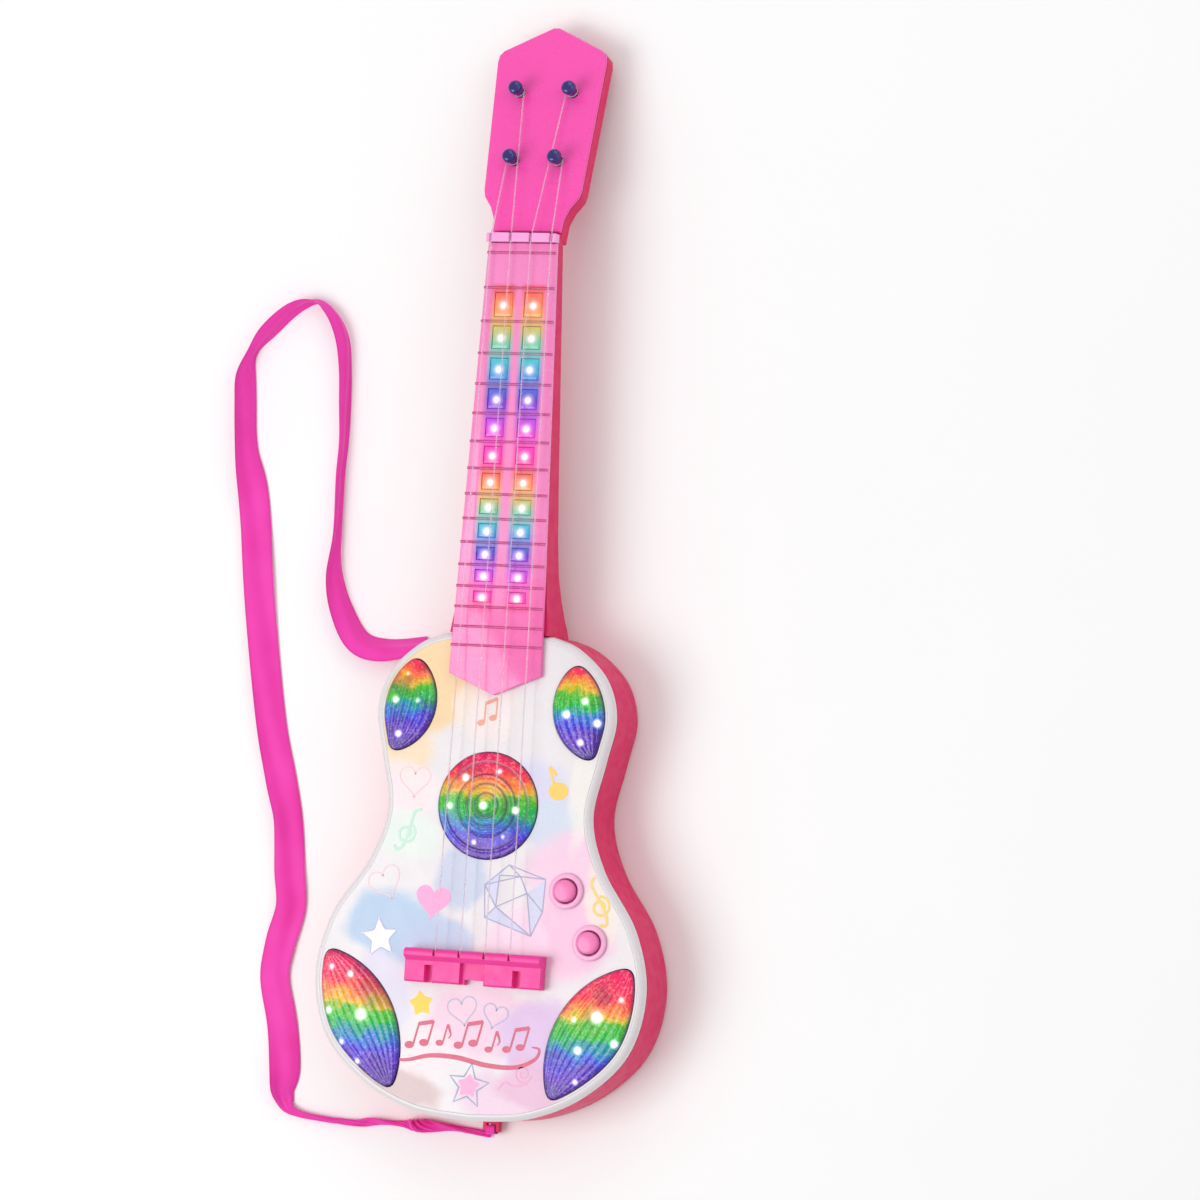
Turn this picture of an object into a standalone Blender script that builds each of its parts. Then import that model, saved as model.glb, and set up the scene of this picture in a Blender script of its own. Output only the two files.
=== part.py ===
"""Toy electric guitar lying on its back: the face looks up (+Z) and the head points along +Y.

Lengths are metres. The design frame has its origin under the sound-hole lens, on the surface that the
guitar lies on. One empty carries that frame, and puts the middle of the guitar's box on the world origin.
"""

import math

import bmesh
import bpy
from mathutils import Matrix, Vector

# ---------------------------------------------------------------- driving dimensions

GAP = 0.0003                # clearance between neighbouring pieces
HOLE_Y = -0.11475           # world Y of the sound-hole centre

# Body. Half outline from the bottom end, over the lower bout, waist and upper bout, to the neck
BODY_HALF = [
    (0.0, -0.154), (0.030, -0.151), (0.058, -0.1385), (0.080, -0.1165), (0.0873, -0.0865),
    (0.080, -0.0565), (0.062, -0.029), (0.054, -0.0035), (0.059, 0.0235), (0.063, 0.0455),
    (0.057, 0.0645), (0.042, 0.0785), (0.028, 0.084),
]
OUTLINE_STEPS = 3           # straight pieces between two outline points
WALL = 0.002
SEAM_Z = 0.031              # top of the pink back shell
FACE_Z = 0.036              # face of the front shell
PLATE_Z = 0.033             # underside of the front shell's plate
RECESS_Z = 0.0353           # floor of the recess that the printed film lies in
RIM_INSET = 0.0033          # width of the rounded rim round the film
BOSSES = [(-0.027, 0.067), (0.027, 0.067), (-0.032, -0.141), (0.032, -0.141)]

# Lenses
HOLE_R = 0.0265             # opening for the round lens
PETAL_INSET = 0.0044        # petal opening to body edge
UPPER_PETAL = (0.0725, 0.0235, (0.031, 0.050))      # tips' Y values, and the middle of the inner arc
LOWER_PETAL = (-0.0735, -0.1425, (0.0428, -0.113))
PETAL_CORNER = 0.006        # how far from a petal's tip its rounding starts
LENS_FOOT_Z = 0.0316
LENS_EDGE_Z = 0.0366
LENS_RISE = 0.0019

# Neck, fretboard and nut
NECK_END_Y = 0.084          # where the neck meets the body
BOARD_END_Y = 0.0642        # corners of the fretboard's pointed end
BOARD_TIP_Y = 0.0542
NUT_Y = (0.2773, 0.2817)
BOARD_HALF_WIDTHS = (0.0244, 0.0181)                # at BOARD_END_Y and at the nut
BOARD_Z = (0.0363, 0.039)
FRETS = 16
FIRST_FRET_Y = 0.2722
FIRST_FRET_STEP = 0.0174
FRET_RATIO = 0.956
FRET_SIZE = (0.0011, 0.0005)                        # width and height
WINDOW_FRETS = (1, 7, 13)   # the lit windows fill the spaces from the first to the second, and on to the third
WINDOW_MARGIN = 0.0022
WINDOW_X = (0.0078, 0.0092)                         # column centre at the nut and at the body
WINDOW_WIDTH = 0.0098

# Head, in its own tilted frame: u across, v towards the tip, w out of the face
HEAD_TILT = math.radians(12)
HEAD_ORIGIN = (0.0, 0.281, FACE_Z)
HEAD_HALF = [
    (0.0186, 0.009), (0.021, 0.015), (0.0250, 0.0205), (0.0259, 0.024),
    (0.0291, 0.092), (0.0286, 0.0955), (0.0265, 0.098), (0.0016, 0.1102),
]
HEAD_DEPTH = 0.0113
COVER_DEPTH = 0.0023
PEGS = [(-0.012, 0.0393), (-0.0142, 0.0755), (0.0142, 0.0755), (0.012, 0.0393)]    # for strings 1 to 4
PEG_R = 0.0022

# Strings, bridge
STRING_R = 0.00035
NUT_STRINGS_X = (-0.016, -0.0053, 0.0053, 0.016)
BRIDGE_STRINGS_X = (-0.0198, -0.0066, 0.0066, 0.0198)
NUT_STRING_Z = 0.0414
BRIDGE_STRING_Z = 0.0436
BRIDGE_Y = (-0.088, -0.0715)
BRIDGE_HALF_WIDTH = 0.036
BRIDGE_SLOT_X = 0.0233

# Buttons
BUTTONS = [(0.0442, -0.0392), (0.058, -0.0636)]
BUTTON_R = 0.0054
BUTTON_HOLE_R = 0.0062
BEZEL_R = 0.00875

# Battery compartment, switch and speaker, all in the back
BATTERY_Y = -0.1045
BATTERY_R = 0.0071
BATTERY_LENGTH = 0.0505
BATTERY_Z = 0.0098
BOX_HALF = (0.029, 0.0262)
DOOR_HALF = (0.0261, 0.0238)
DOOR_TAB = (0.005, 0.0315)  # half width, and reach from the compartment's centre
DOOR_SCREW_Y = BATTERY_Y + 0.0285
SWITCH = (-0.045, -0.043)
SWITCH_TRAVEL = 0.0036
SPEAKER_R = 0.025

# Strap: a flat ribbon that lies on the surface, from the lug on the left shoulder round to the bottom lug
LUG_UPPER = (-0.0455, 0.0757, math.radians(43))
LUG_LOWER = (0.0, -0.154, math.radians(180))
RIBBON_ROUTE = [
    # x, y, width, height
    (-0.053, 0.079, 0.009, 0.0012), (-0.074, 0.0755, 0.014, 0.0012), (-0.089, 0.079, 0.014, 0.0012),
    (-0.099, 0.094, 0.014, 0.0012), (-0.1045, 0.1115, 0.012, 0.0012), (-0.1055, 0.133, 0.010, 0.0012),
    (-0.106, 0.161, 0.015, 0.0012), (-0.1052, 0.180, 0.010, 0.0012), (-0.1056, 0.199, 0.015, 0.0012),
    (-0.1065, 0.216, 0.010, 0.0012), (-0.109, 0.232, 0.014, 0.0012), (-0.116, 0.2445, 0.014, 0.0012),
    (-0.126, 0.2505, 0.013, 0.0012), (-0.138, 0.2465, 0.013, 0.0012), (-0.151, 0.2345, 0.014, 0.0012),
    (-0.159, 0.224, 0.010, 0.0012), (-0.1612, 0.212, 0.014, 0.0012), (-0.1605, 0.198, 0.016, 0.0012),
    (-0.1585, 0.175, 0.016, 0.0012), (-0.1535, 0.150, 0.016, 0.0012), (-0.1455, 0.092, 0.016, 0.0012),
    (-0.135, 0.036, 0.016, 0.0012), (-0.128, 0.008, 0.016, 0.0012), (-0.122, -0.012, 0.014, 0.0012),
    (-0.120, -0.037, 0.016, 0.0012), (-0.1175, -0.056, 0.015, 0.0012), (-0.1225, -0.075, 0.016, 0.0012),
    (-0.1245, -0.092, 0.016, 0.0012), (-0.1185, -0.115, 0.016, 0.0012), (-0.1145, -0.138, 0.015, 0.0012),
    (-0.1145, -0.150, 0.010, 0.0020), (-0.108, -0.1582, 0.005, 0.0030), (-0.078, -0.161, 0.005, 0.0030),
    (-0.063, -0.1595, 0.005, 0.0030), (-0.048, -0.1595, 0.005, 0.0030), (-0.042, -0.1595, 0.008, 0.0060),
    (-0.036, -0.1595, 0.008, 0.0060), (-0.020, -0.1590, 0.006, 0.0030), (-0.0065, -0.1588, 0.006, 0.0030),
]
RIBBON_STEPS = 2


# ---------------------------------------------------------------- outlines and rings

def smooth(points, steps):
    """Catmull-Rom curve through the points, whatever their number of coordinates."""
    out = []
    last = len(points) - 1
    for i in range(last):
        a = Vector(points[max(i - 1, 0)])
        b = Vector(points[i])
        c = Vector(points[i + 1])
        d = Vector(points[min(i + 2, last)])
        for k in range(steps):
            t = k / steps
            out.append(0.5 * (2 * b + (c - a) * t + (2 * a - 5 * b + 4 * c - d) * t ** 2
                              + (3 * b - a - 3 * c + d) * t ** 3))
    out.append(Vector(points[last]))
    return out


def mirrored(half):
    """Closed outline, anticlockwise, from its right half given from bottom to top."""
    right = [Vector(p) for p in half]
    left = [Vector((-p.x, p.y)) for p in reversed(right) if p.x > 1e-6]
    return right + left


def inset(outline, distance):
    """The outline moved inwards by a distance."""
    out = []
    count = len(outline)
    for i, p in enumerate(outline):
        before = (p - outline[i - 1]).normalized()
        after = (outline[(i + 1) % count] - p).normalized()
        inward = (Vector((-before.y, before.x)) + Vector((-after.y, after.x))).normalized()
        cosine = max(inward.dot(Vector((-after.y, after.x))), 0.5)
        out.append(p + inward * distance / cosine)
    return out


def circle(radius, count, centre=(0.0, 0.0)):
    turns = [2 * math.pi * i / count for i in range(count)]
    return [Vector((centre[0] + radius * math.cos(t), centre[1] + radius * math.sin(t))) for t in turns]


def rectangle(half_x, half_y, centre=(0.0, 0.0)):
    corners = [(-1, -1), (1, -1), (1, 1), (-1, 1)]
    return [Vector((centre[0] + half_x * x, centre[1] + half_y * y)) for x, y in corners]


def scaled(outline, factor):
    middle = sum(outline, Vector((0.0, 0.0))) / len(outline)
    return [middle + (p - middle) * factor for p in outline]


def level(outline, z):
    return [Vector((p.x, p.y, z)) for p in outline]


def prism(outline, low, high):
    return [level(outline, low), level(outline, high)]


def block(centre, size):
    x, y, z = centre
    outline = rectangle(size[0] / 2, size[1] / 2, (x, y))
    return prism(outline, z - size[2] / 2, z + size[2] / 2)


def turned(profile, count, centre=(0.0, 0.0)):
    """Rings round a vertical axis, one for each (radius, height) of the profile."""
    return [level(circle(r, count, centre), z) for r, z in profile]


# ---------------------------------------------------------------- objects

MATERIALS = {
    # colour, roughness, metallic
    "pink_shell": ((0.80, 0.06, 0.26), 0.32, 0.0),
    "white_shell": ((0.88, 0.87, 0.88), 0.30, 0.0),
    "printed_film": ((0.90, 0.80, 0.86), 0.35, 0.0),
    "bright_pink": ((1.00, 0.14, 0.46), 0.32, 0.0),
    "pale_pink": ((1.00, 0.42, 0.66), 0.30, 0.0),
    "window": ((0.35, 0.80, 0.75), 0.20, 0.0),
    "clear_lens": ((0.85, 0.88, 0.92), 0.08, 0.0),
    "rainbow_foil": ((0.25, 0.60, 0.45), 0.25, 0.8),
    "navy_plastic": ((0.02, 0.03, 0.22), 0.30, 0.0),
    "string_nylon": ((0.90, 0.85, 0.88), 0.30, 0.0),
    "steel": ((0.60, 0.60, 0.62), 0.35, 1.0),
    "green_board": ((0.04, 0.26, 0.10), 0.50, 0.0),
    "black_plastic": ((0.03, 0.03, 0.03), 0.45, 0.0),
    "cone_paper": ((0.08, 0.08, 0.08), 0.80, 0.0),
    "battery_wrap": ((0.10, 0.22, 0.45), 0.35, 0.2),
    "ribbon": ((1.00, 0.05, 0.50), 0.60, 0.0),
}


def material(name):
    found = bpy.data.materials.get(name)
    if found:
        return found
    colour, roughness, metallic = MATERIALS[name]
    made = bpy.data.materials.new(name)
    made.use_nodes = True
    shader = made.node_tree.nodes["Principled BSDF"]
    shader.inputs["Base Color"].default_value = (*colour, 1.0)
    shader.inputs["Roughness"].default_value = roughness
    shader.inputs["Metallic"].default_value = metallic
    made.diffuse_color = (*colour, 1.0)
    return made


def add_body(bm, rings, closed=False):
    """One solid through rings of equal length. Its two ends are capped, or joined when it is closed."""
    rows = [[bm.verts.new(p) for p in ring] for ring in rings]
    count = len(rows[0])
    faces = []
    pairs = list(zip(rows, rows[1:]))
    if closed:
        pairs.append((rows[-1], rows[0]))
    else:
        faces.append(bm.faces.new(rows[0]))
        faces.append(bm.faces.new(rows[-1]))
    for low, high in pairs:
        for i in range(count):
            j = (i + 1) % count
            faces.append(bm.faces.new((low[i], low[j], high[j], high[i])))
    bmesh.ops.recalc_face_normals(bm, faces=faces)


def solid(name, bodies, finish, place=None, closed=False, crease=35):
    """An object made of one or more bodies, each a list of rings, placed in the design frame."""
    mesh = bpy.data.meshes.new(name)
    bm = bmesh.new()
    for rings in bodies:
        add_body(bm, rings, closed)
    bm.to_mesh(mesh)
    bm.free()
    mesh.shade_smooth()
    mesh.set_sharp_from_angle(angle=math.radians(crease))
    mesh.materials.append(material(finish))
    obj = bpy.data.objects.new(name, mesh)
    bpy.context.scene.collection.objects.link(obj)
    obj.parent = FRAME
    obj.matrix_basis = place or Matrix.Identity(4)
    return obj


def helper(name, bodies, place=None):
    """A cutter or an added body, which is not a piece of its own."""
    obj = solid(name, bodies, "steel", place)
    obj.hide_render = True
    obj.display_type = "WIRE"
    return obj


def combine(obj, operation, other):
    modifier = obj.modifiers.new(other.name, "BOOLEAN")
    modifier.operation = operation
    modifier.object = other
    modifier.use_self = True    # some helpers hold bodies that cross each other


# ---------------------------------------------------------------- shared shapes

def body_outline():
    return mirrored(smooth(BODY_HALF, OUTLINE_STEPS))


def between(edge, low, high):
    """The stretch of a rising edge from one Y to another, with a point exactly at each."""
    out = []
    for a, b in zip(edge, edge[1:]):
        for y in (low, high):
            if a.y < y <= b.y:
                out.append(a.lerp(b, (y - a.y) / (b.y - a.y)))
        if low < b.y < high:
            out.append(b)
    return sorted(out, key=lambda p: p.y)


def rounded_start(edge, arc):
    """Two lines from one tip with a rounded corner between them: both now start at the corner's middle."""
    tip = edge[0]
    beyond = [[p for p in line if (p - tip).length > PETAL_CORNER] for line in (edge, arc)]
    ends = [tip + (line[0] - tip).normalized() * PETAL_CORNER for line in beyond]
    out = []
    for own, other, line in ((ends[0], ends[1], beyond[0]), (ends[1], ends[0], beyond[1])):
        bend = [own * (1 - t) ** 2 + tip * (2 * t * (1 - t)) + other * t ** 2 for t in (0.5, 0.33, 0.16, 0.0)]
        out.append(bend + line)
    return out


def petal_outline(spec, side, clearance=0.0):
    """A petal between the body's edge and an arc through its two tips and the arc's middle point."""
    top_y, bottom_y, middle = spec
    edge = [p for p in inset(body_outline(), PETAL_INSET + clearance) if p.x > 0]
    outer = between(edge, bottom_y + 2 * clearance, top_y - 2 * clearance)
    start = outer[-1]
    end = outer[0]
    through = Vector(middle) + Vector((clearance, 0.0))
    chord = start - end
    half = chord.length / 2
    across = Vector((chord.y, -chord.x)).normalized()
    centre_chord = (start + end) / 2
    rise = (through - centre_chord).length
    radius = (half ** 2 + rise ** 2) / (2 * rise)
    towards = -across if across.dot(through - centre_chord) < 0 else across
    centre = centre_chord + towards * (rise - radius)
    first = math.atan2(start.y - centre.y, start.x - centre.x)
    last = math.atan2(end.y - centre.y, end.x - centre.x)
    if last < first:
        last += 2 * math.pi
    count = 12
    arc = []
    for i in range(count + 1):
        t = last + (first - last) * i / count
        arc.append(centre + Vector((math.cos(t), math.sin(t))) * radius)
    outer, arc = rounded_start(outer, arc)
    outer, arc = rounded_start(outer[::-1], arc[::-1])
    outline = outer[::-1] + arc[1:-1]
    if side < 0:
        outline = [Vector((-p.x, p.y)) for p in reversed(outline)]
    return outline


PETALS = [
    ("upper_left", UPPER_PETAL, -1),
    ("upper_right", UPPER_PETAL, 1),
    ("lower_left", LOWER_PETAL, -1),
    ("lower_right", LOWER_PETAL, 1),
]


def board_half_width(y):
    """Half width of the fretboard and of the neck under it."""
    end, nut = BOARD_HALF_WIDTHS
    if y < BOARD_END_Y:
        return end * max((y - BOARD_TIP_Y) / (BOARD_END_Y - BOARD_TIP_Y), 0.03)
    return end + (nut - end) * (y - BOARD_END_Y) / (NUT_Y[0] - BOARD_END_Y)


def fret_positions():
    out = [FIRST_FRET_Y]
    step = FIRST_FRET_STEP
    for _ in range(FRETS - 1):
        out.append(out[-1] - step)
        step *= FRET_RATIO
    return out


def head_outline(start):
    """The head's outline, which starts square at the nut, at the given v."""
    return mirrored([(BOARD_HALF_WIDTHS[1], start)] + HEAD_HALF)


def head_matrix(u=0.0, v=0.0):
    tilt = Matrix.Rotation(-HEAD_TILT, 4, "X")
    return Matrix.Translation(HEAD_ORIGIN) @ tilt @ Matrix.Translation((u, v, 0.0))


def window_cells(first, last, side):
    """The (x, y, half length) of each lit window between two frets."""
    frets = fret_positions()
    top, bottom = frets[WINDOW_FRETS[0]], frets[WINDOW_FRETS[2]]
    cells = []
    for i in range(first, last):
        y = (frets[i] + frets[i + 1]) / 2
        share = (top - y) / (top - bottom)
        x = WINDOW_X[0] + (WINDOW_X[1] - WINDOW_X[0]) * share
        cells.append((side * x, y, (frets[i] - frets[i + 1]) / 2 - WINDOW_MARGIN))
    return cells


# ---------------------------------------------------------------- body

def lug(spec):
    """The base block of a strap lug, and the eye through it."""
    x, y, turn = spec
    place = Matrix.Translation((x, y, 0.0)) @ Matrix.Rotation(turn, 4, "Z")
    base = block((0, 0.0020, 0.00375), (0.009, 0.007, 0.0035))
    eye = block((0, 0.0027, 0.00375), (0.0052, 0.0024, 0.006))
    return ([[place @ p for p in ring] for ring in base],
            [[place @ p for p in ring] for ring in eye])


def door_outline(clearance):
    x = DOOR_HALF[0] + clearance
    y = DOOR_HALF[1] + clearance
    tab_x = DOOR_TAB[0] + clearance
    tab_y = DOOR_TAB[1] + clearance
    points = [(-x, -y), (x, -y), (x, y), (tab_x, y), (tab_x, tab_y), (-tab_x, tab_y), (-tab_x, y), (-x, y)]
    return [Vector((px, py + BATTERY_Y)) for px, py in points]


def make_back_shell():
    outline = body_outline()
    rings = [
        level(inset(outline, 0.0040), 0.0),
        level(inset(outline, 0.0018), 0.0006),
        level(inset(outline, 0.0005), 0.0020),
        level(outline, 0.0045),
        level(outline, SEAM_Z),
        level(inset(outline, WALL), SEAM_Z),
        level(inset(outline, WALL), 0.0045),
        level(inset(outline, WALL + 0.002), WALL),
    ]
    shell = solid("body_back_shell", [rings], "pink_shell")
    upper_lug, upper_eye = lug(LUG_UPPER)
    lower_lug, lower_eye = lug(LUG_LOWER)
    added = [upper_lug, lower_lug]
    cuts = [upper_eye, lower_eye]
    for x, y in BOSSES:
        added.append(turned([(0.0045, 0.0019), (0.0045, 0.008)], 16, (x, y)))
        cuts.append(turned([(0.0031, -0.001), (0.0031, 0.004), (0.0017, 0.004), (0.0017, 0.009)], 16, (x, y)))
    boss_y = BATTERY_Y + BOX_HALF[1] + 0.0045
    added.append(block((0, boss_y, 0.00445), (0.016, 0.0078, 0.0051)))
    cuts.append(turned([(0.0024, 0.001), (0.0024, 0.008)], 16, (0, DOOR_SCREW_Y)))
    cuts.append(prism(door_outline(0.0004), -0.001, 0.0021))
    cuts.append(block((SWITCH[0], SWITCH[1], 0.001), (0.0096, 0.0048, 0.004)))
    for i in range(5):
        x = (i - 2) * 0.0075
        length = 2 * math.sqrt(0.021 ** 2 - x ** 2)
        cuts.append(block((x, 0, 0.001), (0.0028, length, 0.004)))
    cuts.append(block((0, NECK_END_Y, 0.0225), (0.0312, 0.012, 0.0182)))
    combine(shell, "UNION", helper("back_shell_bosses", added))
    combine(shell, "DIFFERENCE", helper("back_shell_openings", cuts))


def make_front_shell():
    outline = body_outline()
    rings = [
        level(inset(outline, WALL), PLATE_Z),
        level(inset(outline, WALL), SEAM_Z + GAP),
        level(outline, SEAM_Z + GAP),
        level(outline, 0.0334),
        level(inset(outline, 0.0006), 0.0349),
        level(inset(outline, 0.0018), 0.0358),
        level(inset(outline, RIM_INSET - 0.0003), FACE_Z),
        level(inset(outline, RIM_INSET), RECESS_Z),
    ]
    shell = solid("body_front_shell", [rings], "white_shell")
    posts = [turned([(0.0035, 0.0083), (0.0035, PLATE_Z + 0.001)], 16, place) for place in BOSSES]
    bores = [turned([(0.0017, 0.007), (0.0017, 0.018)], 12, place) for place in BOSSES]
    combine(shell, "UNION", helper("front_shell_posts", posts))
    combine(shell, "DIFFERENCE", helper("front_shell_bores", bores))
    openings = [prism(circle(HOLE_R, 40), 0.030, 0.040)]
    for _, spec, side in PETALS:
        openings.append(prism(petal_outline(spec, side), 0.030, 0.040))
    for place in BUTTONS:
        openings.append(prism(circle(BUTTON_HOLE_R, 20, place), 0.030, 0.040))
    face_openings = helper("face_openings", openings)
    combine(shell, "DIFFERENCE", face_openings)
    film = solid("front_face_film", [prism(inset(outline, RIM_INSET + GAP), RECESS_Z + GAP, FACE_Z)],
                 "printed_film")
    combine(film, "DIFFERENCE", face_openings)


def make_screws():
    profile = [(0.0014, 0.0165), (0.0014, 0.0037), (0.0027, 0.0037), (0.0027, 0.0022), (0.0018, 0.0015)]
    for i, place in enumerate(BOSSES):
        solid(f"housing_screw_{i + 1}", [turned(profile, 14, place)], "steel")


def make_lenses():
    """Each clear lens has a foil behind it."""
    profile = [(0.0262, LENS_FOOT_Z), (0.0262, LENS_EDGE_Z), (0.0235, 0.0376), (0.0165, 0.0384), (0.007, 0.0387)]
    solid("sound_hole_lens", [turned(profile, 36)], "clear_lens")
    foil_z = (LENS_FOOT_Z - 0.0007, LENS_FOOT_Z - GAP)
    solid("sound_hole_foil", [prism(circle(0.0258, 40), *foil_z)], "rainbow_foil")
    for name, spec, side in PETALS:
        outline = petal_outline(spec, side, GAP)
        rings = [level(outline, LENS_FOOT_Z)]
        for factor in (1.0, 0.9, 0.7, 0.4):
            rings.append(level(scaled(outline, factor), LENS_EDGE_Z + LENS_RISE * (1 - factor ** 2)))
        solid(f"{name}_petal_lens", [rings], "clear_lens", crease=50)
        solid(f"{name}_petal_foil", [prism(scaled(outline, 0.97), *foil_z)], "rainbow_foil")


def lamp_board(name, outline, lamps):
    board = solid(name, [prism(outline, 0.025, 0.0266)], "green_board")
    leds = [turned([(0.0022, 0.0262), (0.0022, 0.0280), (0.0014, 0.0290)], 6, place) for place in lamps]
    combine(board, "UNION", helper(f"{name}_lamps", leds))


def make_lamp_boards():
    upper = [(-0.020, -0.022), (0.020, -0.022), (0.020, 0.033), (0.052, 0.033), (0.052, 0.057),
             (-0.052, 0.057), (-0.052, 0.033), (-0.020, 0.033)]
    lamps = circle(0.016, 6) + [Vector((0.0, 0.0))]
    for side in (-1, 1):
        for x, y in ((0.042, 0.053), (0.049, 0.046), (0.040, 0.039), (0.0485, 0.036)):
            lamps.append(Vector((side * x, y)))
    lamp_board("lamp_board_upper", [Vector(p) for p in upper], lamps)
    lamps = []
    for side in (-1, 1):
        for x, y in ((0.058, -0.099), (0.069, -0.104), (0.054, -0.115), (0.067, -0.1165)):
            lamps.append(Vector((side * x, y)))
    lamp_board("lamp_board_lower", rectangle(0.072, 0.013, (0.0, -0.1075)), lamps)


# ---------------------------------------------------------------- neck and head

def neck_section(y, half_width, bottom):
    """A U, open to the fretboard, with its outer corners rounded."""
    outer = [(half_width, FACE_Z), (half_width, bottom + 0.006), (half_width - 0.0014, bottom + 0.0024),
             (half_width - 0.005, bottom)]
    inner_half = half_width - 0.0022
    inner = [(inner_half, FACE_Z), (inner_half, bottom + 0.0075), (inner_half - 0.0012, bottom + 0.0040),
             (inner_half - 0.0042, bottom + 0.0022)]
    run = outer + [(-x, z) for x, z in reversed(outer)] + [(-x, z) for x, z in inner]
    run += list(reversed(inner))
    return [Vector((x, y, z)) for x, z in run]


def make_neck():
    stations = [
        # Y, extra half width of the heel, bottom
        (NECK_END_Y + 0.0003, 0.0024, 0.0035), (0.0885, 0.0019, 0.0045), (0.094, 0.0011, 0.0066),
        (0.102, 0.0005, 0.0098), (0.114, 0.0, 0.0136), (0.132, 0.0, 0.0165), (0.160, 0.0, 0.0184),
        (0.2822, 0.0, 0.0246),
    ]
    rings = [neck_section(y, board_half_width(y) + extra, bottom) for y, extra, bottom in stations]
    neck = solid("neck_shell", [rings], "pink_shell")
    tongue = block((0, 0.0755, 0.022), (0.0304, 0.0205, 0.0164))
    outline = head_outline(-0.001)
    tray = [
        level(inset(outline, 0.0012), -HEAD_DEPTH),
        level(outline, -HEAD_DEPTH + 0.0012),
        level(outline, -COVER_DEPTH - GAP),
        level(inset(outline, 0.0021), -COVER_DEPTH - GAP),
        level(inset(outline, 0.0021), -HEAD_DEPTH + 0.0021),
    ]
    holes = [prism(circle(PEG_R + 0.0004, 16, place), -0.015, 0.002) for place in PEGS]
    peg_holes = helper("peg_holes", holes, head_matrix())
    heel_wall = block((0, NECK_END_Y + 0.0016, 0.0174), (0.0400, 0.0026, 0.0252))
    combine(neck, "UNION", helper("neck_heel_wall", [heel_wall]))
    combine(neck, "UNION", helper("neck_tongue", [tongue]))
    combine(neck, "UNION", helper("head_tray", [tray], head_matrix()))
    combine(neck, "DIFFERENCE", peg_holes)
    outline = head_outline(0.0022)
    cover = [level(outline, -COVER_DEPTH), level(outline, -0.0007), level(inset(outline, 0.0007), 0.0)]
    headstock = solid("headstock_cover", [cover], "bright_pink", head_matrix())
    combine(headstock, "DIFFERENCE", peg_holes)


def make_pegs():
    post = [(PEG_R - 0.0002, -0.0170), (PEG_R - 0.0002, -0.0005), (PEG_R, 0.0004), (PEG_R, 0.0050),
            (0.0036, 0.0054), (0.0036, 0.0078), (0.0029, 0.0088), (0.0014, 0.0092)]
    for i, (u, v) in enumerate(PEGS):
        solid(f"tuning_peg_{i + 1}", [turned(post, 12)], "navy_plastic", head_matrix(u, v))
        wing = [Vector((p.x * 1.55, p.y * 0.72)) for p in circle(0.0043, 16)]
        bore = circle(PEG_R + 0.0001, 16)
        knob = [
            level(bore, -0.0117), level(scaled(wing, 0.92), -0.0117), level(wing, -0.0126), level(wing, -0.0166),
            level(scaled(wing, 0.92), -0.0175), level(bore, -0.0175),
        ]
        solid(f"peg_knob_{i + 1}", [knob], "navy_plastic", head_matrix(u, v), closed=True)


def make_fretboard():
    low, high = BOARD_Z
    tops = [(BOARD_TIP_Y, high), (BOARD_END_Y, high)]
    half, rise = FRET_SIZE[0] / 2, FRET_SIZE[1]
    for y in reversed(fret_positions()):
        tops += [(y - half, high), (y - half * 0.5, high + rise), (y + half * 0.5, high + rise), (y + half, high)]
    tops.append((NUT_Y[0] - GAP, high))
    rings = []
    for y, top in tops:
        w = board_half_width(y)
        rings.append([Vector((-w, y, low)), Vector((w, y, low)), Vector((w, y, top)), Vector((-w, y, top))])
    board = solid("fretboard_cover", [rings], "pale_pink")
    first, middle, last = WINDOW_FRETS
    holes = []
    for name, start, stop in (("upper", first, middle), ("lower", middle, last)):
        for side_name, side in (("left", -1), ("right", 1)):
            cells = window_cells(start, stop, side)
            for x, y, half_length in cells:
                holes.append(block((x, y, 0.0376), (WINDOW_WIDTH, 2 * half_length, 0.006)))
            make_window_strip(f"led_window_{name}_{side_name}", cells)
    combine(board, "DIFFERENCE", helper("window_openings", holes))


def make_window_strip(name, cells):
    """A bar under the fretboard with a raised pad in each of its openings."""
    half = WINDOW_WIDTH / 2 - GAP
    low, ledge, top = 0.0346, BOARD_Z[0] - GAP, BOARD_Z[1] + 0.00015
    rings = []
    for x, y, half_length in reversed(cells):
        reach = half_length - GAP
        for along, height in ((-reach, ledge), (-reach, top), (reach, top), (reach, ledge)):
            rings.append([Vector((x - half, y + along, low)), Vector((x + half, y + along, low)),
                          Vector((x + half, y + along, height)), Vector((x - half, y + along, height))])
    # a ring that repeats the place of the one before it makes the pad's upright end
    for i in range(0, len(rings), 4):
        for ring, shift in ((rings[i], -0.0002), (rings[i + 3], 0.0002)):
            for p in ring:
                p.y += shift
    solid(name, [rings], "window")


def make_fretboard_lamps():
    frets = fret_positions()
    low_y, high_y = frets[WINDOW_FRETS[2]] - 0.004, frets[WINDOW_FRETS[0]] + 0.004
    wide, narrow = board_half_width(low_y) - 0.006, board_half_width(high_y) - 0.006
    outline = [Vector((-wide, low_y)), Vector((wide, low_y)), Vector((narrow, high_y)), Vector((-narrow, high_y))]
    board = solid("fretboard_lamp_board", [prism(outline, 0.0296, 0.0312)], "green_board")
    lamps = []
    for side in (-1, 1):
        for x, y, _ in window_cells(WINDOW_FRETS[0], WINDOW_FRETS[2], side):
            lamps.append(block((x, y, 0.0320), (0.004, 0.004, 0.0026)))
    combine(board, "UNION", helper("fretboard_lamps", lamps))


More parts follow.
